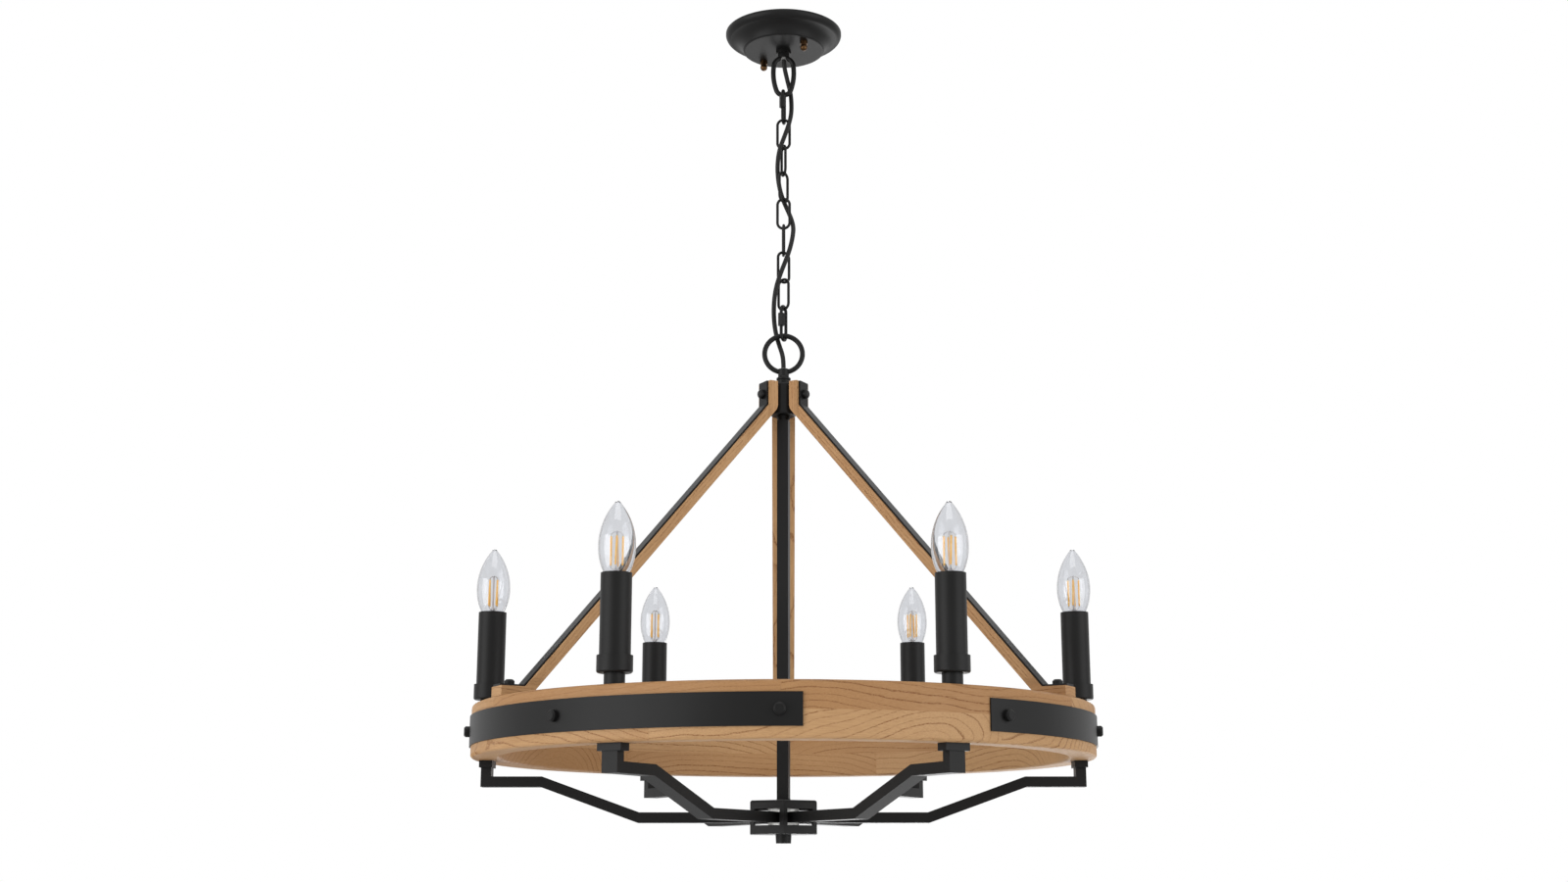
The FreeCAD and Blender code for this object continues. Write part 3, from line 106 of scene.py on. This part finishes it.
class Graph:
    """The node tree of a material or world, and short ways to add to it."""

    def __init__(self, owner, shader="Principled BSDF"):
        owner.use_nodes = True
        self.owner = owner
        self.tree = owner.node_tree
        self.shader = self.tree.nodes[shader]

    def node(self, kind, inputs=(), out=0, **settings):
        """Adds a node, feeds its inputs and gives one of its outputs."""
        made = self.tree.nodes.new("ShaderNode" + kind)
        for key, value in settings.items():
            setattr(made, key, value)
        for key, value in dict(inputs).items():
            self.feed(made.inputs[key], value)
        return Wire(self, made.outputs[out])

    def feed(self, socket, value):
        if isinstance(value, Wire):
            self.tree.links.new(value.socket, socket)
        else:
            socket.default_value = value

    def set(self, **values):
        """Sets the shader's inputs, with _ for a space in a name."""
        for name, value in values.items():
            self.feed(self.shader.inputs[name.replace("_", " ")], value)

    def math(self, operation, *values):
        return self.node("Math", dict(enumerate(values)), operation=operation)

    def place(self):
        """The place on the object at rest."""
        return self.node("TexCoord", out="Object")

    def split(self, kind, wire):
        """The three parts of a vector (XYZ) or a colour (Color)."""
        return [self.node("Separate" + kind, {0: wire}, out=i) for i in range(3)]

    def noise(self, where, scale, detail):
        return self.node("TexNoise", {"Vector": where, "Scale": scale, "Detail": detail})

    def random(self, number, out="Value"):
        """A random value or colour that depends on one number."""
        return self.node("TexWhiteNoise", {"W": number}, out=out, noise_dimensions="1D")

    def step(self, value, low, high, start=0.0, stop=1.0):
        """A smooth step from start at low to stop at high."""
        inputs = {0: value, 1: low, 2: high, 3: start, 4: stop}
        return self.node("MapRange", inputs, interpolation_type="SMOOTHSTEP")

    def mix(self, share, first, second):
        """The first colour with a share of the second."""
        made = self.tree.nodes.new("ShaderNodeMix")
        made.data_type = "RGBA"
        for key, value in {"Factor": share, "A": first, "B": second}.items():
            for socket in made.inputs:
                if socket.name == key and socket.enabled:
                    self.feed(socket, value)
        return Wire(self, next(s for s in made.outputs if s.enabled))

    def ray(self, kind):
        return self.node("LightPath", out=f"Is {kind} Ray")

    def seen(self):
        """1 where a surface is looked at, also in gloss and through glass."""
        direct = self.math("MAXIMUM", self.ray("Camera"), self.ray("Transmission"))
        return self.math("MAXIMUM", direct, self.ray("Glossy"))

    def show(self, share, other):
        """Shows the shader with a share of another one in its place."""
        own = Wire(self, self.shader.outputs[0])
        mixed = self.node("MixShader", {0: share, 1: own, 2: other})
        self.feed(self.tree.nodes["Material Output"].inputs["Surface"], mixed)

    def bump(self, height, distance):
        """Raises the surface by height times distance."""
        self.set(Normal=self.node("Bump", {"Height": height, "Distance": distance, "Strength": 1.0}))


def new_material(name):
    return Graph(bpy.data.materials.new(name))


def dress(material, *names):
    """Gives CAD nodes a material in place of their plain one."""
    for name in names:
        slots = nodes[name].data.materials
        slots.clear()
        slots.append(material)


# ---------------------------------------------------------------- metal and plastic

COAT_TINT = (1.0, 0.985, 0.975)
SKIN_GRAIN = 1300.0
SKIN_RELIEF = 0.00002


def powder_coat(name, colour, roughness, grain):
    """Matte black powder coat: nearly even, with a fine orange-peel skin."""
    g = new_material(name)
    place = g.place()
    skin = g.noise(place, SKIN_GRAIN, 2.0)
    shade = g.step(g.noise(place, 14.0, 3.0), 0.3, 0.7, 0.9, 1.1) * colour
    g.set(Base_Color=g.node("CombineColor", {i: shade * tint for i, tint in enumerate(COAT_TINT)}))
    g.set(Roughness=g.step(skin, 0.3, 0.7, roughness - 0.02, roughness + 0.03))
    g.set(Specular_IOR_Level=0.17)
    g.bump(skin, SKIN_RELIEF * grain)
    return g.owner


def metal(name, colour, roughness):
    """Plated or aged metal, faintly cloudy and very finely grained."""
    g = new_material(name)
    place = g.place()
    cloud = g.noise(place, 160.0, 4.0)
    fine = g.noise(place, 700.0, 2.0)
    dark = tuple(c * 0.55 for c in colour) + (1,)
    g.set(Base_Color=g.mix(g.step(cloud, 0.35, 0.65), dark, colour + (1,)), Metallic=1.0)
    g.set(Roughness=g.step(fine, 0.3, 0.7, roughness - 0.06, roughness + 0.1))
    g.bump(fine, 0.00003)
    return g.owner


def moulded(name, colour, roughness=0.4):
    """Moulded plastic or pressed glass, with a very slight texture."""
    g = new_material(name)
    place = g.place()
    cloud = g.noise(place, 60.0, 3.0)
    dark = tuple(c * 0.9 for c in colour) + (1,)
    g.set(Base_Color=g.mix(g.step(cloud, 0.3, 0.7), dark, colour + (1,)), Roughness=roughness)
    g.bump(g.noise(place, 1500.0, 1.0), 0.00002)
    return g.owner


# ---------------------------------------------------------------- wood

WOOD_PALE = (0.560, 0.333, 0.158, 1)
WOOD_DEEP = (0.440, 0.236, 0.100, 1)
WOOD_LINE = (0.250, 0.094, 0.027, 1)

# how much of WOOD_LINE a ring's porous line, a fibre streak and a pore take on
LINE_SHARE = 0.27
FIBRE_SHARE = 0.22
PORE_SHARE = 0.82

# how far the growth rings leave true circles: over a board, and within a few centimetres
DRIFT_SIDEWAYS = 0.022
DRIFT_ROUND = 0.012
RIPPLE_ROUND = 0.0028

# the share of a year's growth that is porous, and where the next year's begins to show
EARLY_WOOD = 0.36
NEXT_YEAR = 0.95
WOOD_RELIEF = 0.00022

# a board's growth rings: their spacing, and how far below and beside it their centre can lie
WHEEL_RINGS = {"ring": 0.0058, "pith_depth": 0.052, "pith_side": 0.034}
STRUT_RINGS = {"ring": 0.0034, "pith_depth": 0.045, "pith_side": 0.020}

STAVES = 6
WHEEL_INNER_RADIUS = 0.292
HALF_LAYER = 0.013
UPPER_STAVE_TURN = -60.4
LOWER_STAVE_TURN = -81.9

STRUTS = 3
STRUT_TURN = -30.0
STRUT_SLOPE = 49.95
STRUT_KNEE_RADIUS = 0.021
STRUT_FOOT = 0.0095
# brings the depth within each stretch of a strut near zero
SLOPE_DEPTH = 0.33
FOOT_DEPTH = 0.755
HEAD_DEPTH = 0.02

# a multiple of both board counts that keeps board numbers above zero
BOARD_LEAD = 12


def wood_surface(g, board, seeds, skew, ring, pith_depth, pith_side):
    """
    Open-grained hardwood cut from one board, with growth rings round a centre below or beside it.
    board is the place along, across and up in the board, seeds are three random numbers of the board,
    and skew is how steeply the rings' centre can run through it.
    """
    along, across, up = board
    lean, side, tone = seeds

    def streaks(length_scale, cross_scale, detail, shift=0.0):
        """Noise that is stretched along the grain."""
        where = (along * length_scale + shift, across * cross_scale, up * cross_scale)
        return g.noise(g.node("CombineXYZ", dict(enumerate(where))), 1.0, detail)

    drift = streaks(6.0, 10.0, 2.0) - 0.5
    ripple = streaks(42.0, 75.0, 2.0, lean * 9.0) - 0.5
    x = across + (side - 0.35) * pith_side + along * (lean - 0.5) * skew + drift * DRIFT_SIDEWAYS
    y = up + (lean * 0.9 + 0.30) * pith_depth + along * (side - 0.5) * skew * 0.7
    distance = g.math("SQRT", x * x + y * y) + drift * DRIFT_ROUND + ripple * RIPPLE_ROUND
    year = distance / ring + tone * 7.0
    share = g.math("FRACT", year)

    # each year starts with a sharp porous line that fades into dense wood
    fade = g.step(share, 0.0, EARLY_WOOD, 1.0, 0.0)
    start = g.math("MAXIMUM", fade, g.step(share, NEXT_YEAR, 1.0))
    strength = g.random(g.math("FLOOR", year) + tone * 31.0)
    line = start * g.step(strength, 0.0, 1.0, 0.5, 1.0)
    fibre = streaks(60.0, 1300.0, 3.0)
    pore = g.step(streaks(300.0, 1900.0, 1.0), 0.47, 0.56) * g.step(line, 0.30, 0.85, 0.05, 1.0)
    patch = streaks(9.0, 30.0, 2.0)

    body = g.mix(g.step(patch * 0.5 + tone * 0.5, 0.25, 0.75), WOOD_PALE, WOOD_DEEP)
    body = g.mix(g.step(line, 0.15, 1.0, 0.0, LINE_SHARE), body, WOOD_LINE)
    body = g.mix(g.step(fibre, 0.35, 0.75, 0.0, FIBRE_SHARE), body, WOOD_LINE)
    body = g.mix(pore * PORE_SHARE, body, WOOD_LINE)
    g.set(Base_Color=body, Roughness=g.step(fibre, 0.3, 0.7, 0.52, 0.66), Specular_IOR_Level=0.3)
    g.bump(pore * -1.0 + fibre * 0.25 + line * -0.25, WOOD_RELIEF)


def boards_round(g, x, y, turn, count, seed):
    """
    Parts a ring into count boards, one of them with its middle at turn degrees. Gives how far out a
    place is along its board's middle line, how far beside that line, and the board's random numbers.
    """
    sector = 2 * math.pi / count
    place = (g.math("ARCTAN2", y, x) - math.radians(turn)) / sector + (BOARD_LEAD + 0.5)
    number = g.math("FLOOR", place)
    local = (place - number - 0.5) * sector
    radius = g.math("SQRT", x * x + y * y)
    seeds = g.split("Color", g.random(g.math("MODULO", number, count) + seed, out="Color"))
    return radius * g.math("COSINE", local), radius * g.math("SINE", local), seeds


def staved_wood(name, turn, middle, seed, skew):
    """Wood of a wheel layer, with the grain of each stave straight along its chord."""
    g = new_material(name)
    x, y, z = g.split("XYZ", g.place())
    out, side, seeds = boards_round(g, x, y, turn, STAVES, seed)
    wood_surface(g, (side, out - WHEEL_INNER_RADIUS, z - middle), seeds, skew, **WHEEL_RINGS)
    return g.owner


def strut_wood(name, foot_height, seed, skew):
    """Wood of the struts: the grain runs up the slope, level in the foot and upright in the head."""
    g = new_material(name)
    x, y, z = g.split("XYZ", g.place())
    out, side, seeds = boards_round(g, x, y, STRUT_TURN, STRUTS, seed)
    level = g.step(z, foot_height, foot_height + 0.010, 1.0, 0.0)
    upright = g.step(out, STRUT_KNEE_RADIUS, STRUT_KNEE_RADIUS + 0.006, 1.0, 0.0)
    sloped = 1.0 - level - upright
    rise, run = math.sin(math.radians(STRUT_SLOPE)), math.cos(math.radians(STRUT_SLOPE))
    along = sloped * (out * run - z * rise) + level * out - upright * z
    slope_depth = sloped * (out * rise + z * run + SLOPE_DEPTH)
    depth = slope_depth + level * (z + FOOT_DEPTH) + upright * (out - HEAD_DEPTH)
    wood_surface(g, (along, side, depth), seeds, skew, **STRUT_RINGS)
    return g.owner


# ---------------------------------------------------------------- glass and filaments

GLASS_FACE = (0.80, 0.808, 0.828, 1)
GLASS_EDGE = (0.20, 0.20, 0.21, 1)
GLASS_SHADOW = (0.93, 0.93, 0.95, 1)
PHOSPHOR_DEEP = (0.95, 0.50, 0.07, 1)
PHOSPHOR_PALE = (1.0, 0.60, 0.14, 1)
# a painted glow given to the unlit filaments
PHOSPHOR_PAINTED_GLOW = (1.0, 0.50, 0.08, 1)


def bulb_glass(name):
    """Clear glass, greyer at its outline, that lets lamps through to what is inside."""
    g = new_material(name)
    facing = g.node("LayerWeight", {"Blend": 0.5}, out="Facing")
    g.set(Base_Color=g.mix(g.step(facing, 0.45, 0.98), GLASS_FACE, GLASS_EDGE))
    g.set(Roughness=0.0, IOR=1.45, Transmission_Weight=1.0)
    light = g.math("MAXIMUM", g.ray("Shadow"), g.ray("Diffuse"))
    g.show(light, g.node("BsdfTransparent", {"Color": GLASS_SHADOW}))
    return g.owner


def filament_coat(name):
    """The yellow phosphor gel of an unlit filament, with a faint painted glow."""
    g = new_material(name)
    cloud = g.noise(g.place(), 350.0, 2.0)
    g.set(Base_Color=g.mix(g.step(cloud, 0.3, 0.7), PHOSPHOR_DEEP, PHOSPHOR_PALE), Roughness=0.42)
    g.set(Subsurface_Weight=0.25, Subsurface_Radius=(1.0, 0.5, 0.2), Subsurface_Scale=0.001)
    # painted glow: the filament is unlit, yet it gives off a little light
    g.set(Emission_Color=PHOSPHOR_PAINTED_GLOW, Emission_Strength=0.22)
    return g.owner


# ---------------------------------------------------------------- finishes of the CAD nodes

nickel = metal("bulb_cap_nickel", (0.74, 0.70, 0.62), 0.24)
wire_metal = metal("bulb_wire", (0.52, 0.48, 0.43), 0.3)
stem_glass = moulded("mount_glass", (0.80, 0.79, 0.78), 0.12)
dark_glass = moulded("contact_glass", (0.03, 0.03, 0.035), 0.15)
phosphor = filament_coat("filament_phosphor")

layer_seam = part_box("wheel_upper_layer")[0].z
strut_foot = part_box("wooden_struts")[0].z + STRUT_FOOT
dress(staved_wood("wood_upper", UPPER_STAVE_TURN, layer_seam + HALF_LAYER, 3.0, 0.3), "wheel_upper_layer")
dress(staved_wood("wood_lower", LOWER_STAVE_TURN, layer_seam - HALF_LAYER, 11.0, 1.3), "wheel_lower_layer")
dress(strut_wood("wood_struts", strut_foot, 5.0, 0.1), "wooden_struts")
dress(
    powder_coat("black_powder_coat", 0.0078, 0.43, 1.0),
    "canopy", "hub_washer", "strut_hub", "hub_lock_nut", "strut_straps", "strut_bolts", "rim_bands",
    "rim_bolts", "centre_stem", "lower_hub", "hub_base_plate", "finial", "candle_arms", "arm_caps",
    "neck_tubes", "candle_cups", "candle_sleeves",
)
dress(
    powder_coat("black_wire_coat", 0.0075, 0.38, 0.6),
    "canopy_loop", "hanging_ring", "top_quick_link", "top_quick_link_nut", "bottom_quick_link",
    "bottom_quick_link_nut", *LINKS,
)
dress(
    metal("zinc_plate", (0.62, 0.62, 0.60), 0.34),
    "ceiling_bar", "stud_bar", "canopy_nipple", "canopy_lock_nut", "hub_nipple", "stem_plugs", "hub_core",
    "candle_nipples",
)
dress(metal("aged_brass", (0.115, 0.062, 0.028), 0.36), "canopy_studs", "canopy_ball_nuts")
dress(moulded("pale_plastic", (0.78, 0.77, 0.73)), "terminal_block", "lamp_holders")
dress(moulded("grey_bushing", (0.24, 0.24, 0.235)), "canopy_bushing", "ring_bushing")
dress(bulb_glass("clear_bulb_glass"), *(f"bulb_glass_{k}" for k in LAMPS))


# ---------------------------------------------------------------- mesh helpers

SHARP_EDGE = 50


def new_mesh(name, shape, material, smooth=True):
    """A mesh object from a shape, which is a pair of its points and its faces."""
    points, faces = shape
    mesh = bpy.data.meshes.new(name)
    mesh.from_pydata([tuple(p) for p in points], [], faces)
    mesh.validate()
    for polygon in mesh.polygons:
        polygon.use_smooth = smooth
    mesh.set_sharp_from_angle(angle=math.radians(SHARP_EDGE))
    mesh.materials.append(material)
    made = bpy.data.objects.new(name, mesh)
    scene.collection.objects.link(made)
    return made


def skin(rings, sides, first=0):
    """Faces between rings of points that are numbered from first."""
    faces = []
    for i in range(rings - 1):
        for k in range(sides):
            a, b = first + i * sides + k, first + i * sides + (k + 1) % sides
            faces.append((a, b, b + sides, a + sides))
    return faces


def capped_skin(rings, sides):
    """The same with both ends closed."""
    last = (rings - 1) * sides
    return skin(rings, sides) + [tuple(range(sides))[::-1], tuple(range(last, last + sides))]


def circle(radius, height, sides):
    turns = (2 * math.pi * k / sides for k in range(sides))
    return [Vector((radius * math.cos(turn), radius * math.sin(turn), height)) for turn in turns]


def tube_along(line, radius, sides):
    """A closed round tube whose ring centres are the line's points."""
    line = [Vector(p) for p in line]
    points = []
    side = Vector((1, 0, 0))
    for i, centre in enumerate(line):
        ahead = (line[min(i + 1, len(line) - 1)] - line[max(i - 1, 0)]).normalized()
        side = (side - ahead * side.dot(ahead)).normalized()
        other = ahead.cross(side)
        for k in range(sides):
            turn = 2 * math.pi * k / sides
            points.append(centre + (side * math.cos(turn) + other * math.sin(turn)) * radius)
    return points, capped_skin(len(line), sides)


def lathe(profile, sides):
    """A closed turned shape from (radius, height) pairs that start and end on the axis."""
    points = [Vector((0, 0, profile[0][1]))]
    for radius, height in profile[1:-1]:
        points += circle(radius, height, sides)
    points.append(Vector((0, 0, profile[-1][1])))
    rings = len(profile) - 2
    last = len(points) - 1
    faces = skin(rings, sides, first=1)
    for k in range(sides):
        following = (k + 1) % sides
        faces.append((0, 1 + following, 1 + k))
        faces.append((last - sides + k, last - sides + following, last))
    return points, faces


def joined(shapes):
    """Several shapes as one."""
    points, faces = [], []
    for more_points, more_faces in shapes:
        start = len(points)
        points += more_points
        faces += [tuple(i + start for i in face) for face in more_faces]
    return points, faces


# ---------------------------------------------------------------- cord

CORD_WIDTH = 0.005
CORD_SIDES = 20
CORD_ROUTE = [
    (0, 0, -0.0175), (0, 0, -0.036), (0.0039, 0.0034, -0.053), (0.008, 0.0068, -0.068),
    (0.009, 0.0032, -0.084), (0.0086, -0.0026, -0.098), (0.0058, -0.0068, -0.112),
    (0.001, -0.0074, -0.126), (-0.0044, -0.0058, -0.14), (-0.0068, -0.0014, -0.155),
    (-0.0064, 0.0038, -0.17), (-0.0038, 0.0078, -0.185), (0.001, 0.0088, -0.199),
    (0.007, 0.0068, -0.213), (0.0112, 0.0018, -0.228), (0.01, -0.0044, -0.243),
    (0.0068, -0.0072, -0.258), (0.002, -0.0082, -0.272), (-0.0034, -0.0084, -0.286),
    (-0.008, -0.0062, -0.3), (-0.0104, -0.0018, -0.315), (-0.0108, 0.0036, -0.33),
    (-0.0092, 0.0078, -0.346), (-0.0054, 0.0074, -0.361), (-0.0012, 0.0032, -0.374),
    (0, 0, -0.385), (0, 0, -0.3955),
]
CHAIN = ["ceiling", "top_quick_link", *LINKS, "bottom_quick_link", "wheel_frame"]
# the heights between two joints of the chain where one piece of the cord ends and the next starts
CORD_SPLITS = [-0.0903, -0.1224, -0.1533, -0.1844, -0.2155, -0.2466, -0.2777, -0.3088, -0.3417]
# half the share of the room above or below a joint that is worked out as a bend there, and the most such
# room
BEND_SHARE = 0.45
BEND_ROOM = 0.016
JACKET_DEEP = (0.0085, 0.0083, 0.008, 1)
JACKET_PALE = (0.0125, 0.0122, 0.012, 1)


def smooth_line(route):
    """Points along the NURBS spline that a route's points control."""
    curve = bpy.data.curves.new("route", "CURVE")
    curve.dimensions = "3D"
    curve.resolution_u = 16
    spline = curve.splines.new("NURBS")
    spline.points.add(len(route) - 1)
    for point, place in zip(spline.points, route):
        point.co = (*place, 1)
    spline.order_u = 3
    spline.use_endpoint_u = True
    carrier = bpy.data.objects.new("route", curve)
    mesh = bpy.data.meshes.new_from_object(carrier)
    line = [v.co.copy() for v in mesh.vertices]
    bpy.data.meshes.remove(mesh)
    bpy.data.objects.remove(carrier)
    bpy.data.curves.remove(curve)
    return line


def jacket(name):
    """The cord's smooth black jacket, with a very fine grain."""
    g = new_material(name)
    fine = g.noise(g.place(), 1600.0, 2.0)
    g.set(Base_Color=g.mix(g.step(fine, 0.3, 0.7), JACKET_DEEP, JACKET_PALE))
    g.set(Roughness=g.step(fine, 0.3, 0.7, 0.40, 0.54), Specular_IOR_Level=0.2)
    g.bump(fine, 0.00003)
    return g.owner


def split_at(line, heights):
    """Cuts a descending line at given heights; each piece shares its end with the next one's start."""
    pieces, current, left = [], [line[0]], list(heights)
    for before, after in zip(line, line[1:]):
        while left and after.z < left[0]:
            cut = before.lerp(after, (left[0] - before.z) / (after.z - before.z))
            pieces.append(current + [cut])
            current = [cut]
            left.pop(0)
        current.append(after)
    return pieces + [current]


def add_cord():
    """One piece of cord for each joint of the chain."""
    material = jacket("cord_jacket")
    hinge_of = {j["child"]: j["pos_m"][2] for j in frame["joints"] if j["type"] == "hinge"}
    for i, piece_line in enumerate(split_at(smooth_line(CORD_ROUTE), CORD_SPLITS)):
        upper, lower = CHAIN[i], CHAIN[i + 1]
        shape = tube_along(piece_line, CORD_WIDTH / 2, CORD_SIDES)
        piece = new_mesh(f"cord_{i + 1}", shape, material)
        hinge = hinge_of[lower]
        bend = BEND_SHARE * min(piece_line[0].z - hinge, hinge - piece_line[-1].z, BEND_ROOM)
        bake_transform(piece)
        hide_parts("cord")
        length = sum((b - a).length for a, b in zip(piece_line, piece_line[1:]))


add_cord()


# ---------------------------------------------------------------- bulb insides

# turned outlines in millimetres: radius, and height above the cap's lowest point
CAP_SHOULDER = [(0, 3.5), (4.8, 3.5), (5.8, 4.2), (6.1, 5.2), (6.1, 5.6), (0, 5.6)]
CAP_COLLAR = [(0, 19.0), (6.0, 19.0), (6.6, 19.6), (6.8, 21.0), (6.8, 23.5), (6.4, 23.5), (0, 23.5)]
CAP_CONTACT = [(0, 0), (2.1, 0.1), (2.5, 0.7), (2.5, 1.8), (0, 1.8)]
CAP_INSULATOR = [(0, 1.7), (3.0, 1.7), (4.7, 3.4), (4.7, 4.0), (0, 4.0)]
# the glass mount's foot, above the cap's rim: a flare that narrows to a pressed stem
MOUNT_FOOT = [(0, 0), (5.0, 0), (4.6, 2.2), (3.0, 5.2), (2.3, 8.5), (2.4, 11.2), (1.6, 12.8), (0.9, 14.0)]
# the tip of the rod up its middle, from the highest point of what the bulb holds
MOUNT_TIP = [(0.8, -3.0), (1.3, -2.2), (1.2, -1.2), (0, -0.8)]

MOUNT_BASE = 0.0237
THREAD = {"radius": 0.0068, "depth": 0.0008, "pitch": 0.0028, "low": 0.0052, "turns": 5, "sides": 40}
THREAD_ROWS = 10
THREAD_RUNOUT = 8

FILAMENTS = 4
FILAMENT_CIRCLE = 0.0055
FILAMENT_RADIUS = 0.00092
FILAMENT_LEAN = 0.0009
FILAMENT_LOW = 0.0125
FILAMENT_HIGH = 0.0042
PIN_RADIUS = 0.00032
LEAD_RADIUS = 0.0002
# the angle of the filaments in each bulb, as the photograph shows it
FILAMENT_TURN = {1: 30.0, 2: 20.0, 3: 3.0, 4: 5.0, 5: 43.0, 6: 50.0}


def raised(profile, height):
    """An outline in millimetres as one in metres that starts from a height."""
    return [(radius * MM, height + up * MM) for radius, up in profile]


def screw_thread(radius, depth, pitch, low, turns, sides):
    """A rolled screw thread: one closed skin whose radius winds in and out with height."""
    points = []
    rows = turns * THREAD_ROWS
    for i in range(rows + 1):
        height = low + pitch * turns * i / rows
        ease = min(1.0, i / THREAD_RUNOUT, (rows - i) / THREAD_RUNOUT)
        for k in range(sides):
            turn = 2 * math.pi * k / sides
            wave = 0.5 + 0.5 * math.cos(2 * math.pi * i / THREAD_ROWS - turn)
            r = radius - depth * (1 - wave * ease)
            points.append(Vector((r * math.cos(turn), r * math.sin(turn), height)))
    return points, capped_skin(rows + 1, sides)


def filament(x, y, low, high, lean):
    """An upright rod with rounded ends, leaning by (x, y) over its length."""
    r = FILAMENT_RADIUS
    profile = [(0, low), (r * 0.7, low + r * 0.3), (r, low + r)]
    profile += [(r, high - r), (r * 0.7, high - r * 0.3), (0, high)]
    points, faces = lathe(profile, 14)
    for p in points:
        share = (p.z - low) / (high - low) - 0.5
        p.x += x + lean[0] * share
        p.y += y + lean[1] * share
    return points, faces


def filament_set(foot, top):
    """The filaments round the mount, and the pins and lead wires that hold and feed them."""
    low, high = foot + FILAMENT_LOW, top - FILAMENT_HIGH
    filaments, wires = [], []
    for i in range(FILAMENTS):
        angle = math.radians(45 + 360 / FILAMENTS * i)
        x, y = FILAMENT_CIRCLE * math.cos(angle), FILAMENT_CIRCLE * math.sin(angle)
        lean = (-FILAMENT_LEAN * math.sin(angle), FILAMENT_LEAN * math.cos(angle))
        filaments.append(filament(x, y, low + 0.0022, high - 0.0014, lean))
        bottom = (x - lean[0] / 2, y - lean[1] / 2)
        upper = (x + lean[0] / 2, y + lean[1] / 2)
        low_pin = [(*bottom, low + 0.0003), (*bottom, low + 0.0028)]
        high_pin = [(*upper, high - 0.0020), (*upper, high + 0.0006)]
        low_lead = [
            (x * 0.22, y * 0.22, foot + 0.0098), (x * 0.62, y * 0.62, low - 0.0012),
            (*bottom, low + 0.0006),
        ]
        high_lead = [(0, 0, top - 0.0024), (x * 0.45, y * 0.45, top - 0.0018), (*upper, high + 0.0004)]
        wires += [tube_along(pin, PIN_RADIUS, 8) for pin in (low_pin, high_pin)]
        wires += [tube_along(lead, LEAD_RADIUS, 8) for lead in (low_lead, high_lead)]
    return joined(filaments), joined(wires)


def add_bulb_inside(k):
    """What bulb k holds, in place of its cap node."""
    low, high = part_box(f"bulb_cap_{k}")
    centre = (low + high) / 2
    turn = Matrix.Rotation(math.radians(FILAMENT_TURN[k]), 4, "Z")
    to_place = Matrix.Translation((centre.x, centre.y, 0)) @ turn
    foot = low.z + MOUNT_BASE
    thread = screw_thread(**{**THREAD, "low": low.z + THREAD["low"]})
    cap = [lathe(raised(CAP_SHOULDER, low.z), 32), thread, lathe(raised(CAP_COLLAR, low.z), 40)]
    mount = lathe(raised(MOUNT_FOOT, foot) + raised(MOUNT_TIP, high.z), 24)
    filaments, wires = filament_set(foot, high.z)
    for name, shape, material, slot in (
        ("cap", joined(cap), nickel, "bulb_metal"),
        ("contact", lathe(raised(CAP_CONTACT, low.z), 24), wire_metal, "bulb_metal"),
        ("insulator", lathe(raised(CAP_INSULATOR, low.z), 28), dark_glass, "bulb_metal"),
        ("mount", mount, stem_glass, "clear_glass"),
        ("filaments", filaments, phosphor, "bulb_metal"),
        ("wires", wires, wire_metal, "bulb_metal"),
    ):
        piece = new_mesh(f"bulb_{k}_{name}", shape, material)
        piece.data.transform(to_place)
        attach(piece, f"bulb_{k}")
        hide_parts(f"bulb_cap_{k}")


for lamp in LAMPS:
    add_bulb_inside(lamp)


# ---------------------------------------------------------------- floor and light

FLOOR_DEPTH = -2.4
FLOOR_HALF = 14.0
FLOOR_DEEP = (0.78, 0.78, 0.78, 1)
FLOOR_PALE = (0.82, 0.82, 0.82, 1)
PAPER_WHITE = (0.93, 0.93, 0.93, 1)
PAPER_SHARE = 0.7
WORLD_LIGHT = 0.30


def add_floor():
    """A plain pale floor, which looks more even than the lamps light it."""
    g = new_material("floor")
    cloud = g.noise(g.place(), 3.0, 2.0)
    g.set(Base_Color=g.mix(g.step(cloud, 0.2, 0.8), FLOOR_DEEP, FLOOR_PALE), Roughness=0.8)
    g.show(g.seen() * PAPER_SHARE, g.node("Emission", {"Color": PAPER_WHITE, "Strength": 1.0}))
    h = FLOOR_HALF
    square = [(-h, -h, 0), (h, -h, 0), (h, h, 0), (-h, h, 0)], [(0, 1, 2, 3)]
    floor = new_mesh("floor", square, g.owner, smooth=False)
    floor.location.z = FLOOR_DEPTH


def add_world():
    """An even surround, seen as white behind the object, in its gloss and through its glass."""
    scene.world = bpy.data.worlds.new("studio")
    g = Graph(scene.world, "Background")
    g.set(Color=(1, 1, 1, 1), Strength=g.node("MapRange", {0: g.seen(), 3: WORLD_LIGHT, 4: 1.0}))


def add_lamp(name, place, aim, size, power):
    light = bpy.data.lights.new(name, "AREA")
    light.shape = "RECTANGLE"
    light.size, light.size_y = size
    light.energy = power
    lamp = bpy.data.objects.new(name, light)
    scene.collection.objects.link(lamp)
    lamp.location = place
    lamp.rotation_euler = (Vector(aim) - Vector(place)).to_track_quat("-Z", "Y").to_euler()
    lamp.visible_camera = False


add_floor()
add_world()
add_lamp("left", (-2.6, -1.8, -0.7), (0, 0, -0.6), (2.6, 2.6), 62)
add_lamp("right", (2.6, -1.8, -0.7), (0, 0, -0.6), (2.6, 2.6), 46)
add_lamp("top", (0.0, -1.0, 1.9), (0, 0, -0.7), (2.0, 2.0), 22)
add_lamp("rear", (0.7, 2.4, -1.5), (0, 0, -0.1), (1.6, 1.2), 16)

scene.view_settings.view_transform = "Standard"
